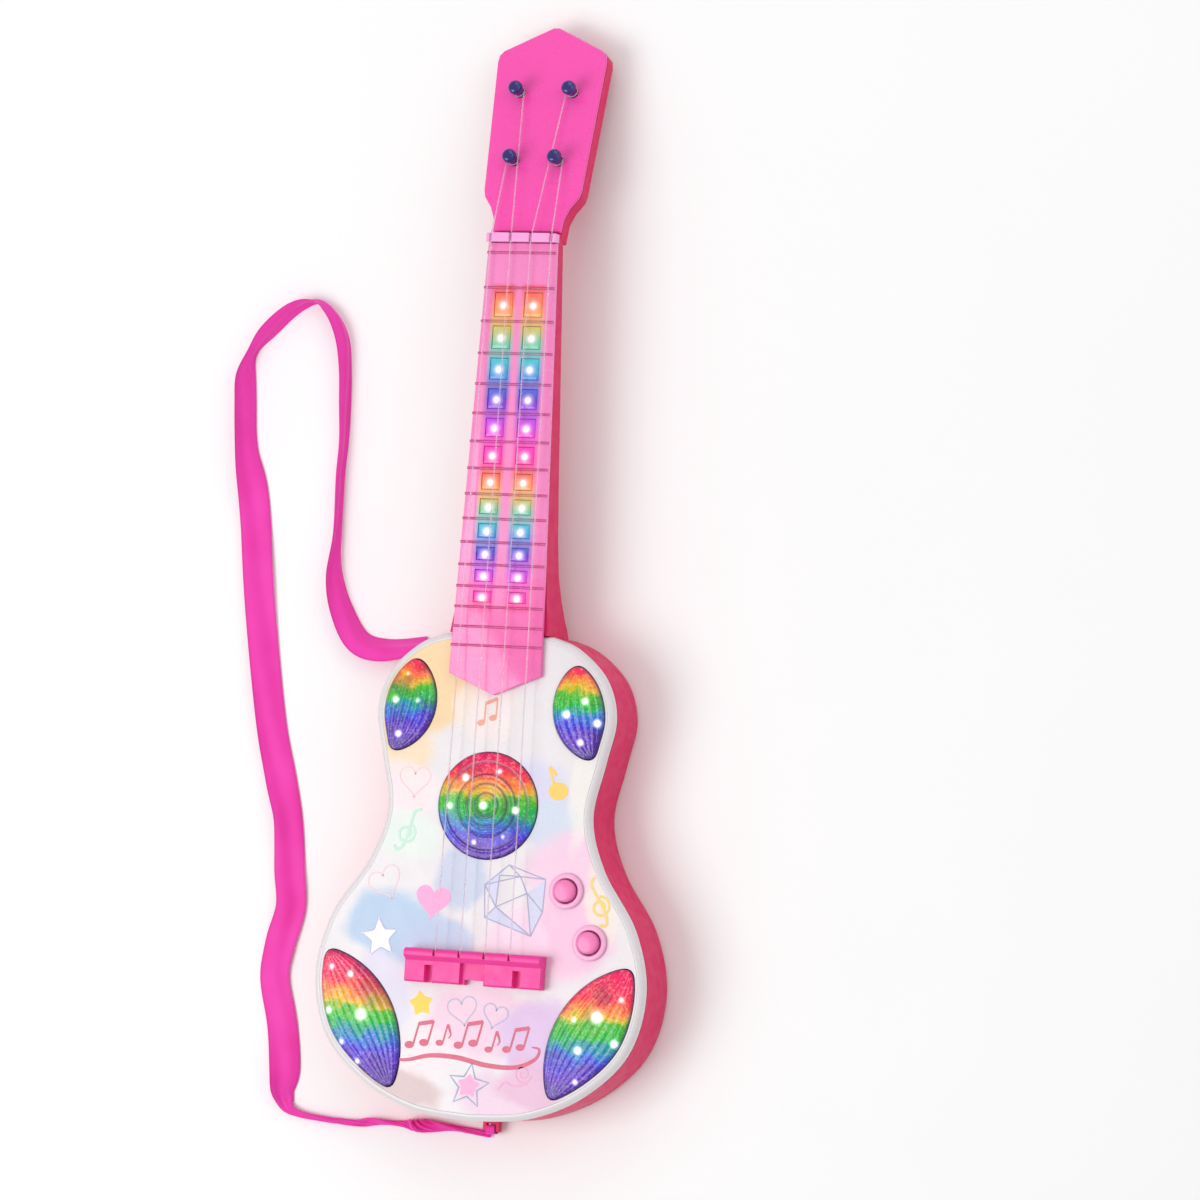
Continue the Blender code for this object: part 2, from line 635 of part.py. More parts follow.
def make_nut():
    """One section through the notches, drawn across the neck and extruded along it."""
    foot, notch, pad, horn = 0.0363, 0.0400, 0.0425, 0.0416
    half_notch, half_width = 0.0007, 0.0184
    section = [(-half_width, foot), (half_width, foot), (half_width, horn)]
    heights = [horn, pad, pad, pad, horn]
    for i, x in enumerate(reversed(NUT_STRINGS_X)):
        section += [(x + half_notch, heights[i]), (x + half_notch, notch)]
        section += [(x - half_notch, notch), (x - half_notch, heights[i + 1])]
    section.append((-half_width, horn))
    rings = [[Vector((x, y, z)) for x, z in section] for y in NUT_Y]
    solid("nut", [rings], "pale_pink", crease=30)


# ---------------------------------------------------------------- bridge and strings

def make_bridge():
    bottom, top = BRIDGE_Y
    section = [(bottom, 0.0363), (top, 0.0363), (top, 0.0438), (top - 0.0014, 0.0452), (top - 0.0036, 0.0452),
               (top - 0.0058, 0.0424), (bottom + 0.0008, 0.0424), (bottom, 0.0416)]
    rings = [[Vector((x, y, z)) for y, z in section] for x in (-BRIDGE_HALF_WIDTH, BRIDGE_HALF_WIDTH)]
    bridge = solid("bridge", [rings], "bright_pink", crease=30)
    cuts = [
        block((0, bottom + 0.005, 0.0422), (0.0136, 0.0112, 0.005)),
        block((0, bottom, 0.040), (0.0100, 0.005, 0.020)),
    ]
    for side in (-1, 1):
        cuts.append(block((side * BRIDGE_SLOT_X, bottom + 0.004, 0.0418), (0.0044, 0.0092, 0.007)))
    for x in BRIDGE_STRINGS_X:
        cuts.append(block((x, top, 0.0449), (0.0014, 0.0066, 0.0040)))
    combine(bridge, "DIFFERENCE", helper("bridge_cuts", cuts))


def string_route(index):
    """From its turn round the peg, over the nut, to its notch in the bridge."""
    u, v = PEGS[index]
    frame = head_matrix()
    coil_r = PEG_R + STRING_R + GAP
    inner = -1 if index in (0, 3) else 1
    side = inner * (1 if u < 0 else -1)
    points = []
    turns = 11
    for i in range(turns + 1):
        angle = 2 * math.pi * i / 10
        x = side * coil_r * math.cos(angle)
        y = -coil_r * math.sin(angle)
        points.append(frame @ Vector((u + x, v + y, 0.0021 - 0.00085 * i / 10)))
    nut_y = sum(NUT_Y) / 2
    run = [
        Vector((BRIDGE_STRINGS_X[index], BRIDGE_Y[1] - 0.0028, BRIDGE_STRING_Z)),
        Vector((NUT_STRINGS_X[index], nut_y, NUT_STRING_Z)),
    ]
    return run + points


def make_strings():
    for index in range(4):
        curve = bpy.data.curves.new(f"string_{index + 1}", "CURVE")
        curve.dimensions = "3D"
        curve.bevel_depth = STRING_R
        curve.bevel_resolution = 2
        curve.use_fill_caps = True
        points = string_route(index)
        spline = curve.splines.new("POLY")
        spline.points.add(len(points) - 1)
        for place, point in zip(spline.points, points):
            place.co = (*point, 1.0)
        curve.materials.append(material("string_nylon"))
        obj = bpy.data.objects.new(f"string_{index + 1}", curve)
        bpy.context.scene.collection.objects.link(obj)
        obj.parent = FRAME


# ---------------------------------------------------------------- buttons and electronics

def make_buttons():
    for name, (x, y) in zip(("upper", "lower"), BUTTONS):
        place = Matrix.Translation((x, y, 0.0))
        cap = [(0.0072, 0.0324), (0.0072, 0.0329), (BUTTON_R, 0.0330), (BUTTON_R, 0.0402), (0.0047, 0.0409),
               (0.0026, 0.0412)]
        solid(f"button_{name}", [turned(cap, 20)], "bright_pink", place)
        ring = [(BUTTON_HOLE_R, 0.0363), (BEZEL_R, 0.0363), (BEZEL_R, 0.0373), (0.0079, 0.0379),
                (BUTTON_HOLE_R, 0.0379)]
        solid(f"button_bezel_{name}", [turned(ring, 24)], "bright_pink", place, closed=True)
        square = rectangle(0.0031, 0.0031)
        switch = [level(square, 0.0274), level(square, 0.0296), level(scaled(square, 0.55), 0.0296),
                  level(scaled(square, 0.55), 0.0309)]
        solid(f"tact_switch_{name}", [switch], "black_plastic", place)


def make_main_board():
    first, second = (Vector(place) for place in BUTTONS)
    middle = (first + second) / 2
    turn = math.atan2(second.y - first.y, second.x - first.x)
    place = Matrix.Translation((middle.x, middle.y, 0.0)) @ Matrix.Rotation(turn, 4, "Z")
    board = solid("main_board", [prism(rectangle(0.022, 0.012), 0.0255, 0.0271)], "green_board", place)
    chip = helper("sound_chip", [turned([(0.005, 0.0262), (0.005, 0.0276), (0.003, 0.0285)], 12, (0.0, 0.003))],
                  place)
    combine(board, "UNION", chip)


def make_speaker():
    frame = [(0.0135, 0.0096), (0.0228, 0.0023), (SPEAKER_R, 0.0023), (SPEAKER_R, 0.0045), (0.016, 0.011),
             (0.014, 0.0115), (0.014, 0.018)]
    solid("speaker_frame", [turned(frame, 28)], "steel")
    cone = [(0.0060, 0.0076), (0.0212, 0.0025), (0.0216, 0.0028), (0.0080, 0.0086)]
    solid("speaker_cone", [turned(cone, 28)], "cone_paper")


def make_battery_compartment():
    outer = rectangle(*BOX_HALF, (0.0, BATTERY_Y))
    inner = rectangle(BOX_HALF[0] - 0.0018, BOX_HALF[1] - 0.0018, (0.0, BATTERY_Y))
    box = [level(inner, 0.0176), level(inner, 0.0023), level(outer, 0.0023), level(outer, 0.0192)]
    solid("battery_box", [box], "black_plastic")
    half = BATTERY_LENGTH / 2
    profile = [(BATTERY_R, -half), (BATTERY_R, half - 0.0014), (0.0027, half - 0.0012), (0.0027, half)]
    for i in range(3):
        y = BATTERY_Y + (i - 1) * (2 * BATTERY_R + 0.0008)
        turn = math.radians(90 if i % 2 else -90)
        place = Matrix.Translation((0.0, y, BATTERY_Z)) @ Matrix.Rotation(turn, 4, "Y")
        solid(f"battery_{i + 1}", [turned(profile, 20)], "battery_wrap", place)
    hinge = Matrix.Translation((0.0, BATTERY_Y - DOOR_HALF[1], 0.0001))
    outline = [p - Vector((0.0, BATTERY_Y - DOOR_HALF[1])) for p in door_outline(0.0)]
    door = solid("battery_door", [prism(outline, 0.0, 0.0017)], "pink_shell", hinge)
    hole = [(0.0030, -0.001), (0.0030, 0.0010), (0.0018, 0.0010), (0.0018, 0.003)]
    combine(door, "DIFFERENCE", helper("door_screw_hole", [turned(hole, 16, (0.0, DOOR_SCREW_Y))]))
    screw = [(0.0013, 0.0068), (0.0013, 0.0009), (0.0026, 0.0007), (0.0026, 0.0003)]
    solid("battery_door_screw", [turned(screw, 14)], "steel", Matrix.Translation((0.0, DOOR_SCREW_Y, 0.0)))


def make_power_switch():
    x, y = SWITCH
    solid("power_switch", [block((x, y, 0.0066), (0.0120, 0.0060, 0.0046))], "black_plastic")
    place = Matrix.Translation((x - SWITCH_TRAVEL / 2, y, 0.0))
    knob = block((0.0, 0.0, 0.00215), (0.0052, 0.0040, 0.0037))
    solid("power_switch_knob", [knob], "black_plastic", place)


# ---------------------------------------------------------------- strap

def make_ribbon():
    route = smooth(RIBBON_ROUTE, RIBBON_STEPS)
    rings = []
    for i, point in enumerate(route):
        ahead = route[min(i + 1, len(route) - 1)]
        behind = route[max(i - 1, 0)]
        along = Vector((ahead[0] - behind[0], ahead[1] - behind[1])).normalized()
        side = Vector((-along.y, along.x, 0.0)) * point[2] / 2
        centre = Vector((point[0], point[1], GAP))
        up = Vector((0.0, 0.0, point[3]))
        rings.append([centre - side, centre + side, centre + side + up, centre - side + up])
    solid("strap_ribbon", [rings], "ribbon")


# ---------------------------------------------------------------- the guitar

for old in list(bpy.data.objects):
    bpy.data.objects.remove(old, do_unlink=True)

FRAME = bpy.data.objects.new("design_frame", None)
bpy.context.scene.collection.objects.link(FRAME)
FRAME.location = (0.0, HOLE_Y, 0.0)

make_back_shell()
make_front_shell()
make_screws()
make_lenses()
make_lamp_boards()
make_neck()
make_pegs()
make_fretboard()
make_fretboard_lamps()
make_nut()
make_bridge()
make_strings()
make_buttons()
make_main_board()
make_speaker()
make_battery_compartment()
make_power_switch()
make_ribbon()
bpy.context.view_layer.update()
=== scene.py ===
"""Visual model of a toy electric guitar that lies on its back on a pale floor.

Lengths are metres. Pieces are drawn in the design frame: its origin lies on the floor under the middle of the
sound-hole lens, +Y points to the head and +Z up. Every piece then rides on the body of the part it belongs to.
"""

import math

import bmesh
import bpy
from mathutils import Matrix, Vector


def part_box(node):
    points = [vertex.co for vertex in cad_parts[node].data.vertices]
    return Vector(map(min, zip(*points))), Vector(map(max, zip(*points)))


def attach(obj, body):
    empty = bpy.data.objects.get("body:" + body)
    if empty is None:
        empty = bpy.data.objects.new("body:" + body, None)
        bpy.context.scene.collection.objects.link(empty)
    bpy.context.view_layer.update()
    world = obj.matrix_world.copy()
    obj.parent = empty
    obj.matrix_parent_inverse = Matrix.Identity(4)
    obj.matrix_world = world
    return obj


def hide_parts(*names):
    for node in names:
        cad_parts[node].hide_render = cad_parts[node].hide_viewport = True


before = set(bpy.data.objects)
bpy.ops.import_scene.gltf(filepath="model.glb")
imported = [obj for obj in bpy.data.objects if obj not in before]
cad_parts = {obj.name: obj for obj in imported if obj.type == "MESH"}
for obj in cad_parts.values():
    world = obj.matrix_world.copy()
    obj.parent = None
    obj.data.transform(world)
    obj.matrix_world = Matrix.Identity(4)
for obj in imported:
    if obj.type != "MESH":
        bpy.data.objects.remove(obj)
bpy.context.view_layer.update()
HOLE = (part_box("sound_hole_lens")[0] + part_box("sound_hole_lens")[1]) / 2
ORIGIN = Vector((HOLE.x, HOLE.y, 0.0))

# ---------------------------------------------------------------- driving dimensions

GAP = 0.0003
BODY_HALF = [
    (0.0, -0.154), (0.030, -0.151), (0.058, -0.1385), (0.080, -0.1165), (0.0873, -0.0865),
    (0.080, -0.0565), (0.062, -0.029), (0.054, -0.0035), (0.059, 0.0235), (0.063, 0.0455),
    (0.057, 0.0645), (0.042, 0.0785), (0.028, 0.084),
]
WALL = 0.002
SEAM_Z = 0.031
FACE_Z = 0.036
PLATE_Z = 0.033
RECESS_Z = 0.0353
RIM_INSET = 0.0033
BOSSES = [(-0.027, 0.067), (0.027, 0.067), (-0.032, -0.141), (0.032, -0.141)]
HOLE_R = 0.0265
PETAL_INSET = 0.0044
UPPER_PETAL = (0.0725, 0.0235, (0.031, 0.050))         # top, bottom, and the middle of the inner arc
LOWER_PETAL = (-0.0735, -0.1425, (0.0428, -0.113))
PETALS = {
    "upper_left": (UPPER_PETAL, -1),
    "upper_right": (UPPER_PETAL, 1),
    "lower_left": (LOWER_PETAL, -1),
    "lower_right": (LOWER_PETAL, 1),
}
PETAL_CORNER = 0.006
LENS_FOOT_Z = 0.0316
LENS_EDGE_Z = 0.0366
LENS_RISE = 0.0019
LENS_R = 0.0262
LENS_RINGS = (0.0215, 0.0152, 0.0106, 0.0060)
GLOW_REACH = {"petal": 0.0023, "hole": 0.0021, "window": 0.0024}
BOARD_END_Y = 0.0642
BOARD_TIP_Y = 0.0542
NUT_Y = 0.2773
BOARD_HALF_WIDTHS = (0.0244, 0.0181)
BOARD_TOP_Z = 0.039
FRETS = 16
FIRST_FRET_Y = 0.2722
FIRST_FRET_STEP = 0.0174
FRET_RATIO = 0.956
FRET_HALF = 0.00068
FRET_RISE = 0.00072
WINDOW_FRETS = (1, 7, 13)
WINDOW_MARGIN = 0.0022
WINDOW_X = (0.0078, 0.0092)
WINDOW_WIDTH = 0.0098
HEAD_ORIGIN = (0.0, 0.281, FACE_Z)
HEAD_TILT = math.radians(12)
PEGS = [(-0.012, 0.0393), (-0.0142, 0.0755), (0.0142, 0.0755), (0.012, 0.0393)]
BUTTONS = {"upper": (0.0442, -0.0392), "lower": (0.058, -0.0636)}
BUTTON_HOLE_R = 0.0062
BRIDGE_Y = (-0.088, -0.0715)
BRIDGE_HALF = 0.036
BRIDGE_SLOT_X = 0.0233
SWITCH_AT = (-0.045, -0.043)
GRILLE_SLOTS = 5
GRILLE_STEP = 0.0075
GRILLE_R = 0.021
GRILLE_SLOT_R = 0.0014
OPENING_Z = (0.030, 0.040)         # from below the front's plate to above its face
LUG_UPPER = (-0.0455, 0.0757, math.radians(43))
LUG_LOWER = (0.0, -0.154, math.radians(180))
DOOR_SCREW = (0.0, -0.076)
STRINGS_X = [
    (-0.0198, -0.0066, 0.0066, 0.0198),         # at the bridge
    (-0.016, -0.0053, 0.0053, 0.016),           # at the nut
]
STRING_R = 0.00035
INK_Z = FACE_Z - 0.00003

# Strap: x and y of its centre line on the floor, how wide it looks from above, and its height when gathered
RIBBON_ROUTE = [
    (-0.053, 0.079, 0.010, 0.0012), (-0.074, 0.0755, 0.013, 0.0012), (-0.089, 0.079, 0.013, 0.0012),
    (-0.099, 0.094, 0.0115, 0.0012), (-0.1045, 0.1115, 0.0085, 0.0012), (-0.1055, 0.133, 0.003, 0.0012),
    (-0.106, 0.161, 0.003, 0.0012), (-0.1052, 0.180, 0.003, 0.0012), (-0.1056, 0.199, 0.0045, 0.0012),
    (-0.1065, 0.216, 0.005, 0.0012), (-0.109, 0.232, 0.0065, 0.0012), (-0.116, 0.2445, 0.0055, 0.0012),
    (-0.126, 0.2505, 0.003, 0.0012), (-0.138, 0.2465, 0.0065, 0.0012), (-0.151, 0.2345, 0.0075, 0.0012),
    (-0.159, 0.224, 0.0035, 0.0012), (-0.1612, 0.212, 0.0095, 0.0012), (-0.1605, 0.198, 0.0105, 0.0012),
    (-0.1585, 0.175, 0.011, 0.0012), (-0.1535, 0.150, 0.0155, 0.0012), (-0.1455, 0.092, 0.0155, 0.0012),
    (-0.135, 0.036, 0.015, 0.0012), (-0.128, 0.008, 0.016, 0.0012), (-0.122, -0.012, 0.014, 0.0012),
    (-0.120, -0.037, 0.016, 0.0012), (-0.1175, -0.056, 0.015, 0.0012), (-0.1225, -0.075, 0.016, 0.0012),
    (-0.1245, -0.092, 0.016, 0.0012), (-0.1185, -0.115, 0.016, 0.0012), (-0.1145, -0.138, 0.015, 0.0012),
    (-0.1145, -0.150, 0.010, 0.0020), (-0.108, -0.1582, 0.0045, 0.0030), (-0.078, -0.161, 0.004, 0.0030),
    (-0.063, -0.1595, 0.0045, 0.0030), (-0.048, -0.1595, 0.004, 0.0030), (-0.042, -0.1595, 0.008, 0.0060),
    (-0.036, -0.1595, 0.007, 0.0060), (-0.020, -0.1595, 0.0045, 0.0030), (-0.0015, -0.1612, 0.0025, 0.0026),
]
RIBBON_TURN = 72         # point of the smoothed route where the ribbon tips over on to its other face
RIBBON_WIDTH = 0.016
RIBBON_FLAT = 0.0012     # height in the route where the ribbon isn't gathered
RIBBON_HALF_THICK = 0.00045
RIBBON_ARCH = 0.0010
RIBBON_RIPPLE = 0.0005
LOOP_HALF = 0.0022       # half width of the sewn loops at its two ends
RIB_PITCH = 0.0011
THREAD_PITCH = 0.0009

# Camera and light
CAMERA_AT = (0.9582, -0.1560, 2.3420)
CAMERA_LOOK = (-0.36520, 0.05813, -0.92911)
CAMERA_UP = (-0.03831, 0.99626, 0.07739)
CAMERA_LENS = 153.0
CAMERA_SENSOR = 36.0
WORLD_STRENGTH = 0.60
AREA_LIGHTS = [
    # name, place, size, power
    ("key_light", (-0.9, -0.5, 1.5), 1.1, 14.0),
    ("fill_light", (1.3, 0.6, 1.1), 1.2, 4.0),
    ("rear_light", (0.1, 1.4, 0.9), 1.0, 3.0),
]
FLOOR_Z = -0.0002
FLOOR_SIZE = 4.0

# Lamps that shine through the lenses: x, y, and how strongly
HOLE_LAMPS = [(-0.0121, 0.0132, 1.0), (0.0057, 0.0170, 0.8), (-0.0195, -0.001, 0.9), (0.0155, -0.0016, 1.0),
              (-0.0055, -0.0182, 0.8), (0.0096, -0.0147, 0.7), (-0.0015, 0.0, 1.1)]
PETAL_LAMPS = {
    "upper_right": [(0.0483, 0.0532, 0.9), (0.0390, 0.0464, 1.0), (0.0553, 0.0428, 1.0), (0.0471, 0.0331, 0.9)],
    "upper_left": [(-0.0463, 0.0628, 0.6), (-0.0520, 0.0497, 0.9), (-0.0400, 0.0498, 0.7),
                   (-0.0495, 0.033, 0.9)],
    "lower_left": [(-0.0770, -0.0835, 0.8), (-0.0666, -0.0865, 0.9), (-0.0594, -0.1059, 1.5),
                   (-0.0770, -0.1050, 0.9), (-0.0691, -0.1200, 0.8), (-0.0600, -0.1290, 0.8)],
    "lower_right": [(0.0768, -0.0899, 0.8), (0.0648, -0.0990, 1.5), (0.0530, -0.1010, 0.8),
                    (0.0745, -0.1112, 1.0), (0.0560, -0.1157, 1.0), (0.0555, -0.1310, 0.8)],
}


# ---------------------------------------------------------------- outlines

def smooth(points, steps):
    """Catmull-Rom curve through the points, whatever their number of coordinates."""
    out = []
    last = len(points) - 1
    for i in range(last):
        a = Vector(points[max(i - 1, 0)])
        b = Vector(points[i])
        c = Vector(points[i + 1])
        d = Vector(points[min(i + 2, last)])
        for k in range(steps):
            t = k / steps
            out.append(0.5 * (2 * b + (c - a) * t + (2 * a - 5 * b + 4 * c - d) * t ** 2
                              + (3 * b - a - 3 * c + d) * t ** 3))
    out.append(Vector(points[last]))
    return out


def clamp(value):
    return min(max(value, 0.0), 1.0)


def mirrored(half):
    right = [Vector(p) for p in half]
    left = [Vector((-p.x, p.y)) for p in reversed(right) if p.x > 1e-6]
    return right + left


def inset(outline, distance):
    """The outline moved inwards by a distance."""
    out = []
    count = len(outline)
    for i, p in enumerate(outline):
        before = (p - outline[i - 1]).normalized()
        after = (outline[(i + 1) % count] - p).normalized()
        inward = (Vector((-before.y, before.x)) + Vector((-after.y, after.x))).normalized()
        cosine = max(inward.dot(Vector((-after.y, after.x))), 0.5)
        out.append(p + inward * distance / cosine)
    return out


def circle(radius, count, centre=(0.0, 0.0)):
    turns = [2 * math.pi * i / count for i in range(count)]
    return [Vector((centre[0] + radius * math.cos(t), centre[1] + radius * math.sin(t))) for t in turns]


def rectangle(half_x, half_y, centre=(0.0, 0.0)):
    corners = [(-1, -1), (1, -1), (1, 1), (-1, 1)]
    return [Vector((centre[0] + half_x * x, centre[1] + half_y * y)) for x, y in corners]


def level(outline, z):
    return [Vector((p[0], p[1], z)) for p in outline]


def prism(outline, low, high):
    return [level(outline, low), level(outline, high)]


def stack(outline, steps):
    """Rings of an outline, each moved inwards by a distance and set at a height."""
    return [level(inset(outline, distance) if distance else outline, z) for distance, z in steps]


def block(centre, size):
    x, y, z = centre
    return prism(rectangle(size[0] / 2, size[1] / 2, (x, y)), z - size[2] / 2, z + size[2] / 2)


def turned(profile, count, centre=(0.0, 0.0)):
    return [level(circle(r, count, centre), z) for r, z in profile]


def body_outline():
    return mirrored(smooth(BODY_HALF, 8))


def between(edge, low, high):
    """The stretch of a rising edge from one Y to another, with a point exactly at each."""
    out = []
    for a, b in zip(edge, edge[1:]):
        for y in (low, high):
            if a.y < y <= b.y:
                out.append(a.lerp(b, (y - a.y) / (b.y - a.y)))
        if low < b.y < high:
            out.append(b)
    return sorted(out, key=lambda p: p.y)


def along_line(points, count):
    """Points evenly spaced along a polyline."""
    lengths = [0.0]
    for a, b in zip(points, points[1:]):
        lengths.append(lengths[-1] + (b - a).length)
    out = []
    k = 0
    for i in range(count + 1):
        wanted = lengths[-1] * i / count
        while k < len(points) - 2 and lengths[k + 1] < wanted:
            k += 1
        share = (wanted - lengths[k]) / max(lengths[k + 1] - lengths[k], 1e-9)
        out.append(points[k].lerp(points[k + 1], clamp(share)))
    return out


def rounded_start(edge, arc):
    """Two lines from one tip with a rounded corner between them: both now start at the corner's middle."""
    tip = edge[0]
    beyond = [[p for p in line if (p - tip).length > PETAL_CORNER] for line in (edge, arc)]
    ends = [tip + (line[0] - tip).normalized() * PETAL_CORNER for line in beyond]
    out = []
    for own, other, line in ((ends[0], ends[1], beyond[0]), (ends[1], ends[0], beyond[1])):
        shares = [0.5 - 0.0625 * k for k in range(9)]
        bend = [own * (1 - t) ** 2 + tip * (2 * t * (1 - t)) + other * t ** 2 for t in shares]
        out.append(bend + line)
    return out


def petal_edges(spec, side, clearance, count):
    """A petal's outer edge and inner arc, both from its lower corner to its upper corner."""
    top_y, bottom_y, middle = spec
    edge = [p for p in inset(body_outline(), PETAL_INSET + clearance) if p.x > 0]
    outer = between(edge, bottom_y + 2 * clearance, top_y - 2 * clearance)
    start, end = outer[-1], outer[0]
    through = Vector(middle) + Vector((clearance, 0.0))
    chord = start - end
    half = chord.length / 2
    across = Vector((chord.y, -chord.x)).normalized()
    centre_chord = (start + end) / 2
    rise = (through - centre_chord).length
    radius = (half ** 2 + rise ** 2) / (2 * rise)
    towards = -across if across.dot(through - centre_chord) < 0 else across
    centre = centre_chord + towards * (rise - radius)
    first = math.atan2(start.y - centre.y, start.x - centre.x)
    last = math.atan2(end.y - centre.y, end.x - centre.x)
    if last < first:
        last += 2 * math.pi
    arc = []
    for i in range(count + 1):
        t = last + (first - last) * i / count
        arc.append(centre + Vector((math.cos(t), math.sin(t))) * radius)
    outer, arc = rounded_start(outer, arc)
    outer, arc = rounded_start(outer[::-1], arc[::-1])
    outer = along_line(outer[::-1], count)
    arc = along_line(arc[::-1], count)
    if side < 0:
        outer = [Vector((-p.x, p.y)) for p in outer]
        arc = [Vector((-p.x, p.y)) for p in arc]
    return outer, arc


def board_half_width(y):
    end, nut = BOARD_HALF_WIDTHS
    return end + (nut - end) * (y - BOARD_END_Y) / (NUT_Y - BOARD_END_Y)


def fret_positions():
    out = [FIRST_FRET_Y]
    step = FIRST_FRET_STEP
    for _ in range(FRETS - 1):
        out.append(out[-1] - step)
        step *= FRET_RATIO
    return out


def window_cells(first, last, side):
    """The (x, y, half length) of each lit window between two frets."""
    frets = fret_positions()
    top, bottom = frets[WINDOW_FRETS[0]], frets[WINDOW_FRETS[2]]
    cells = []
    for i in range(first, last):
        y = (frets[i] + frets[i + 1]) / 2
        share = (top - y) / (top - bottom)
        x = WINDOW_X[0] + (WINDOW_X[1] - WINDOW_X[0]) * share
        cells.append((side * x, y, (frets[i] - frets[i + 1]) / 2 - WINDOW_MARGIN))
    return cells


def lug_matrix(x, y, turn):
    return Matrix.Translation((x, y, 0.0)) @ Matrix.Rotation(turn, 4, "Z")


def head_matrix(u=0.0, v=0.0):
    tilt = Matrix.Rotation(-HEAD_TILT, 4, "X")
    return Matrix.Translation(HEAD_ORIGIN) @ tilt @ Matrix.Translation((u, v, 0.0))


# ---------------------------------------------------------------- materials

def linear(code):
    """Linear colour from a six-digit sRGB code."""
    channels = [int(code[i:i + 2], 16) / 255 for i in (1, 3, 5)]
    values = [c / 12.92 if c <= 0.04045 else ((c + 0.055) / 1.055) ** 2.4 for c in channels]
    return (*values, 1.0)


def shade(code, factor):
    red, green, blue, _ = linear(code)
    return (min(red * factor, 1.0), min(green * factor, 1.0), min(blue * factor, 1.0), 1.0)


class Finish:
    """A material under construction: a principled shader, and short ways to add nodes to it."""

    def __init__(self, name, **constants):
        self.material = bpy.data.materials.new(name)
        self.material.use_nodes = True
        tree = self.material.node_tree
        self.nodes = tree.nodes
        self.links = tree.links
        self.shader = tree.nodes["Principled BSDF"]
        for label, value in constants.items():
            self.shader.inputs[label.replace("_", " ")].default_value = value
        self.place = self.nodes.new("ShaderNodeTexCoord").outputs["Object"]

    def node(self, kind, inputs, **settings):
        node = self.nodes.new("ShaderNode" + kind)
        for key, value in settings.items():
            setattr(node, key, value)
        for socket, value in inputs.items():
            if isinstance(value, bpy.types.NodeSocket):
                self.links.new(value, node.inputs[socket])
            else:
                node.inputs[socket].default_value = value
        return node

    def sum(self, operation, first, second=0.0, third=0.0):
        return self.node("Math", {0: first, 1: second, 2: third}, operation=operation).outputs[0]

    def times(self, first, second):
        return self.sum("MULTIPLY", first, second)

    def vector(self, operation, first, second):
        node = self.node("VectorMath", {0: first, 1: second}, operation=operation)
        return node.outputs["Value" if operation in ("LENGTH", "DISTANCE", "DOT_PRODUCT") else "Vector"]

    def split(self, vector):
        return self.node("SeparateXYZ", {0: vector}).outputs

    def mix(self, factor, first, second):
        return self.node("Mix", {0: factor, 6: first, 7: second}, data_type="RGBA").outputs[2]

    def span(self, value, low, high, to_low=0.0, to_high=1.0, kind="SMOOTHSTEP"):
        inputs = {0: value, 1: low, 2: high, 3: to_low, 4: to_high}
        return self.node("MapRange", inputs, interpolation_type=kind).outputs[0]

    def noise(self, scale, detail=2.0, vector=None, output="Fac"):
        inputs = {"Vector": vector or self.place, "Scale": scale, "Detail": detail}
        return self.node("TexNoise", inputs).outputs[output]

    def ramp(self, factor, stops):
        node = self.node("ValToRGB", {0: factor})
        elements = node.color_ramp.elements
        while len(elements) < len(stops):
            elements.new(0.5)
        for element, (position, colour) in zip(elements, stops):
            element.position = position
            element.color = colour
        return node.outputs[0]

    def attribute(self, name, output="Fac"):
        return self.node("Attribute", {}, attribute_name=name).outputs[output]

    def link(self, label, socket):
        self.links.new(socket, self.shader.inputs[label])

    def drift(self, code, scale, detail, low, high):
        """A colour that wanders between two shades of a code."""
        return self.mix(self.noise(scale, detail), shade(code, low), shade(code, high))

    def gloss(self, scale, detail, low, high):
        """Uneven roughness between two values."""
        self.link("Roughness", self.span(self.noise(scale, detail), 0.3, 0.7, low, high))

    def bump(self, height, strength, distance=0.0002):
        inputs = {"Height": height, "Strength": strength, "Distance": distance}
        self.link("Normal", self.node("Bump", inputs).outputs[0])


def plastic(name, code, roughness=0.3, drift=0.06, grain=0.12, **constants):
    """Moulded plastic: slow drift of colour, uneven gloss and a fine grain."""
    finish = Finish(name, **constants)
    tone = finish.drift(code, 22.0, 3.0, 1 - drift, 1 + drift)
    finish.link("Base Color", tone)
    finish.gloss(160.0, 4.0, roughness - 0.05, roughness + 0.09)
    finish.bump(finish.noise(1400.0, 2.0), grain, 0.00003)
    return finish.material


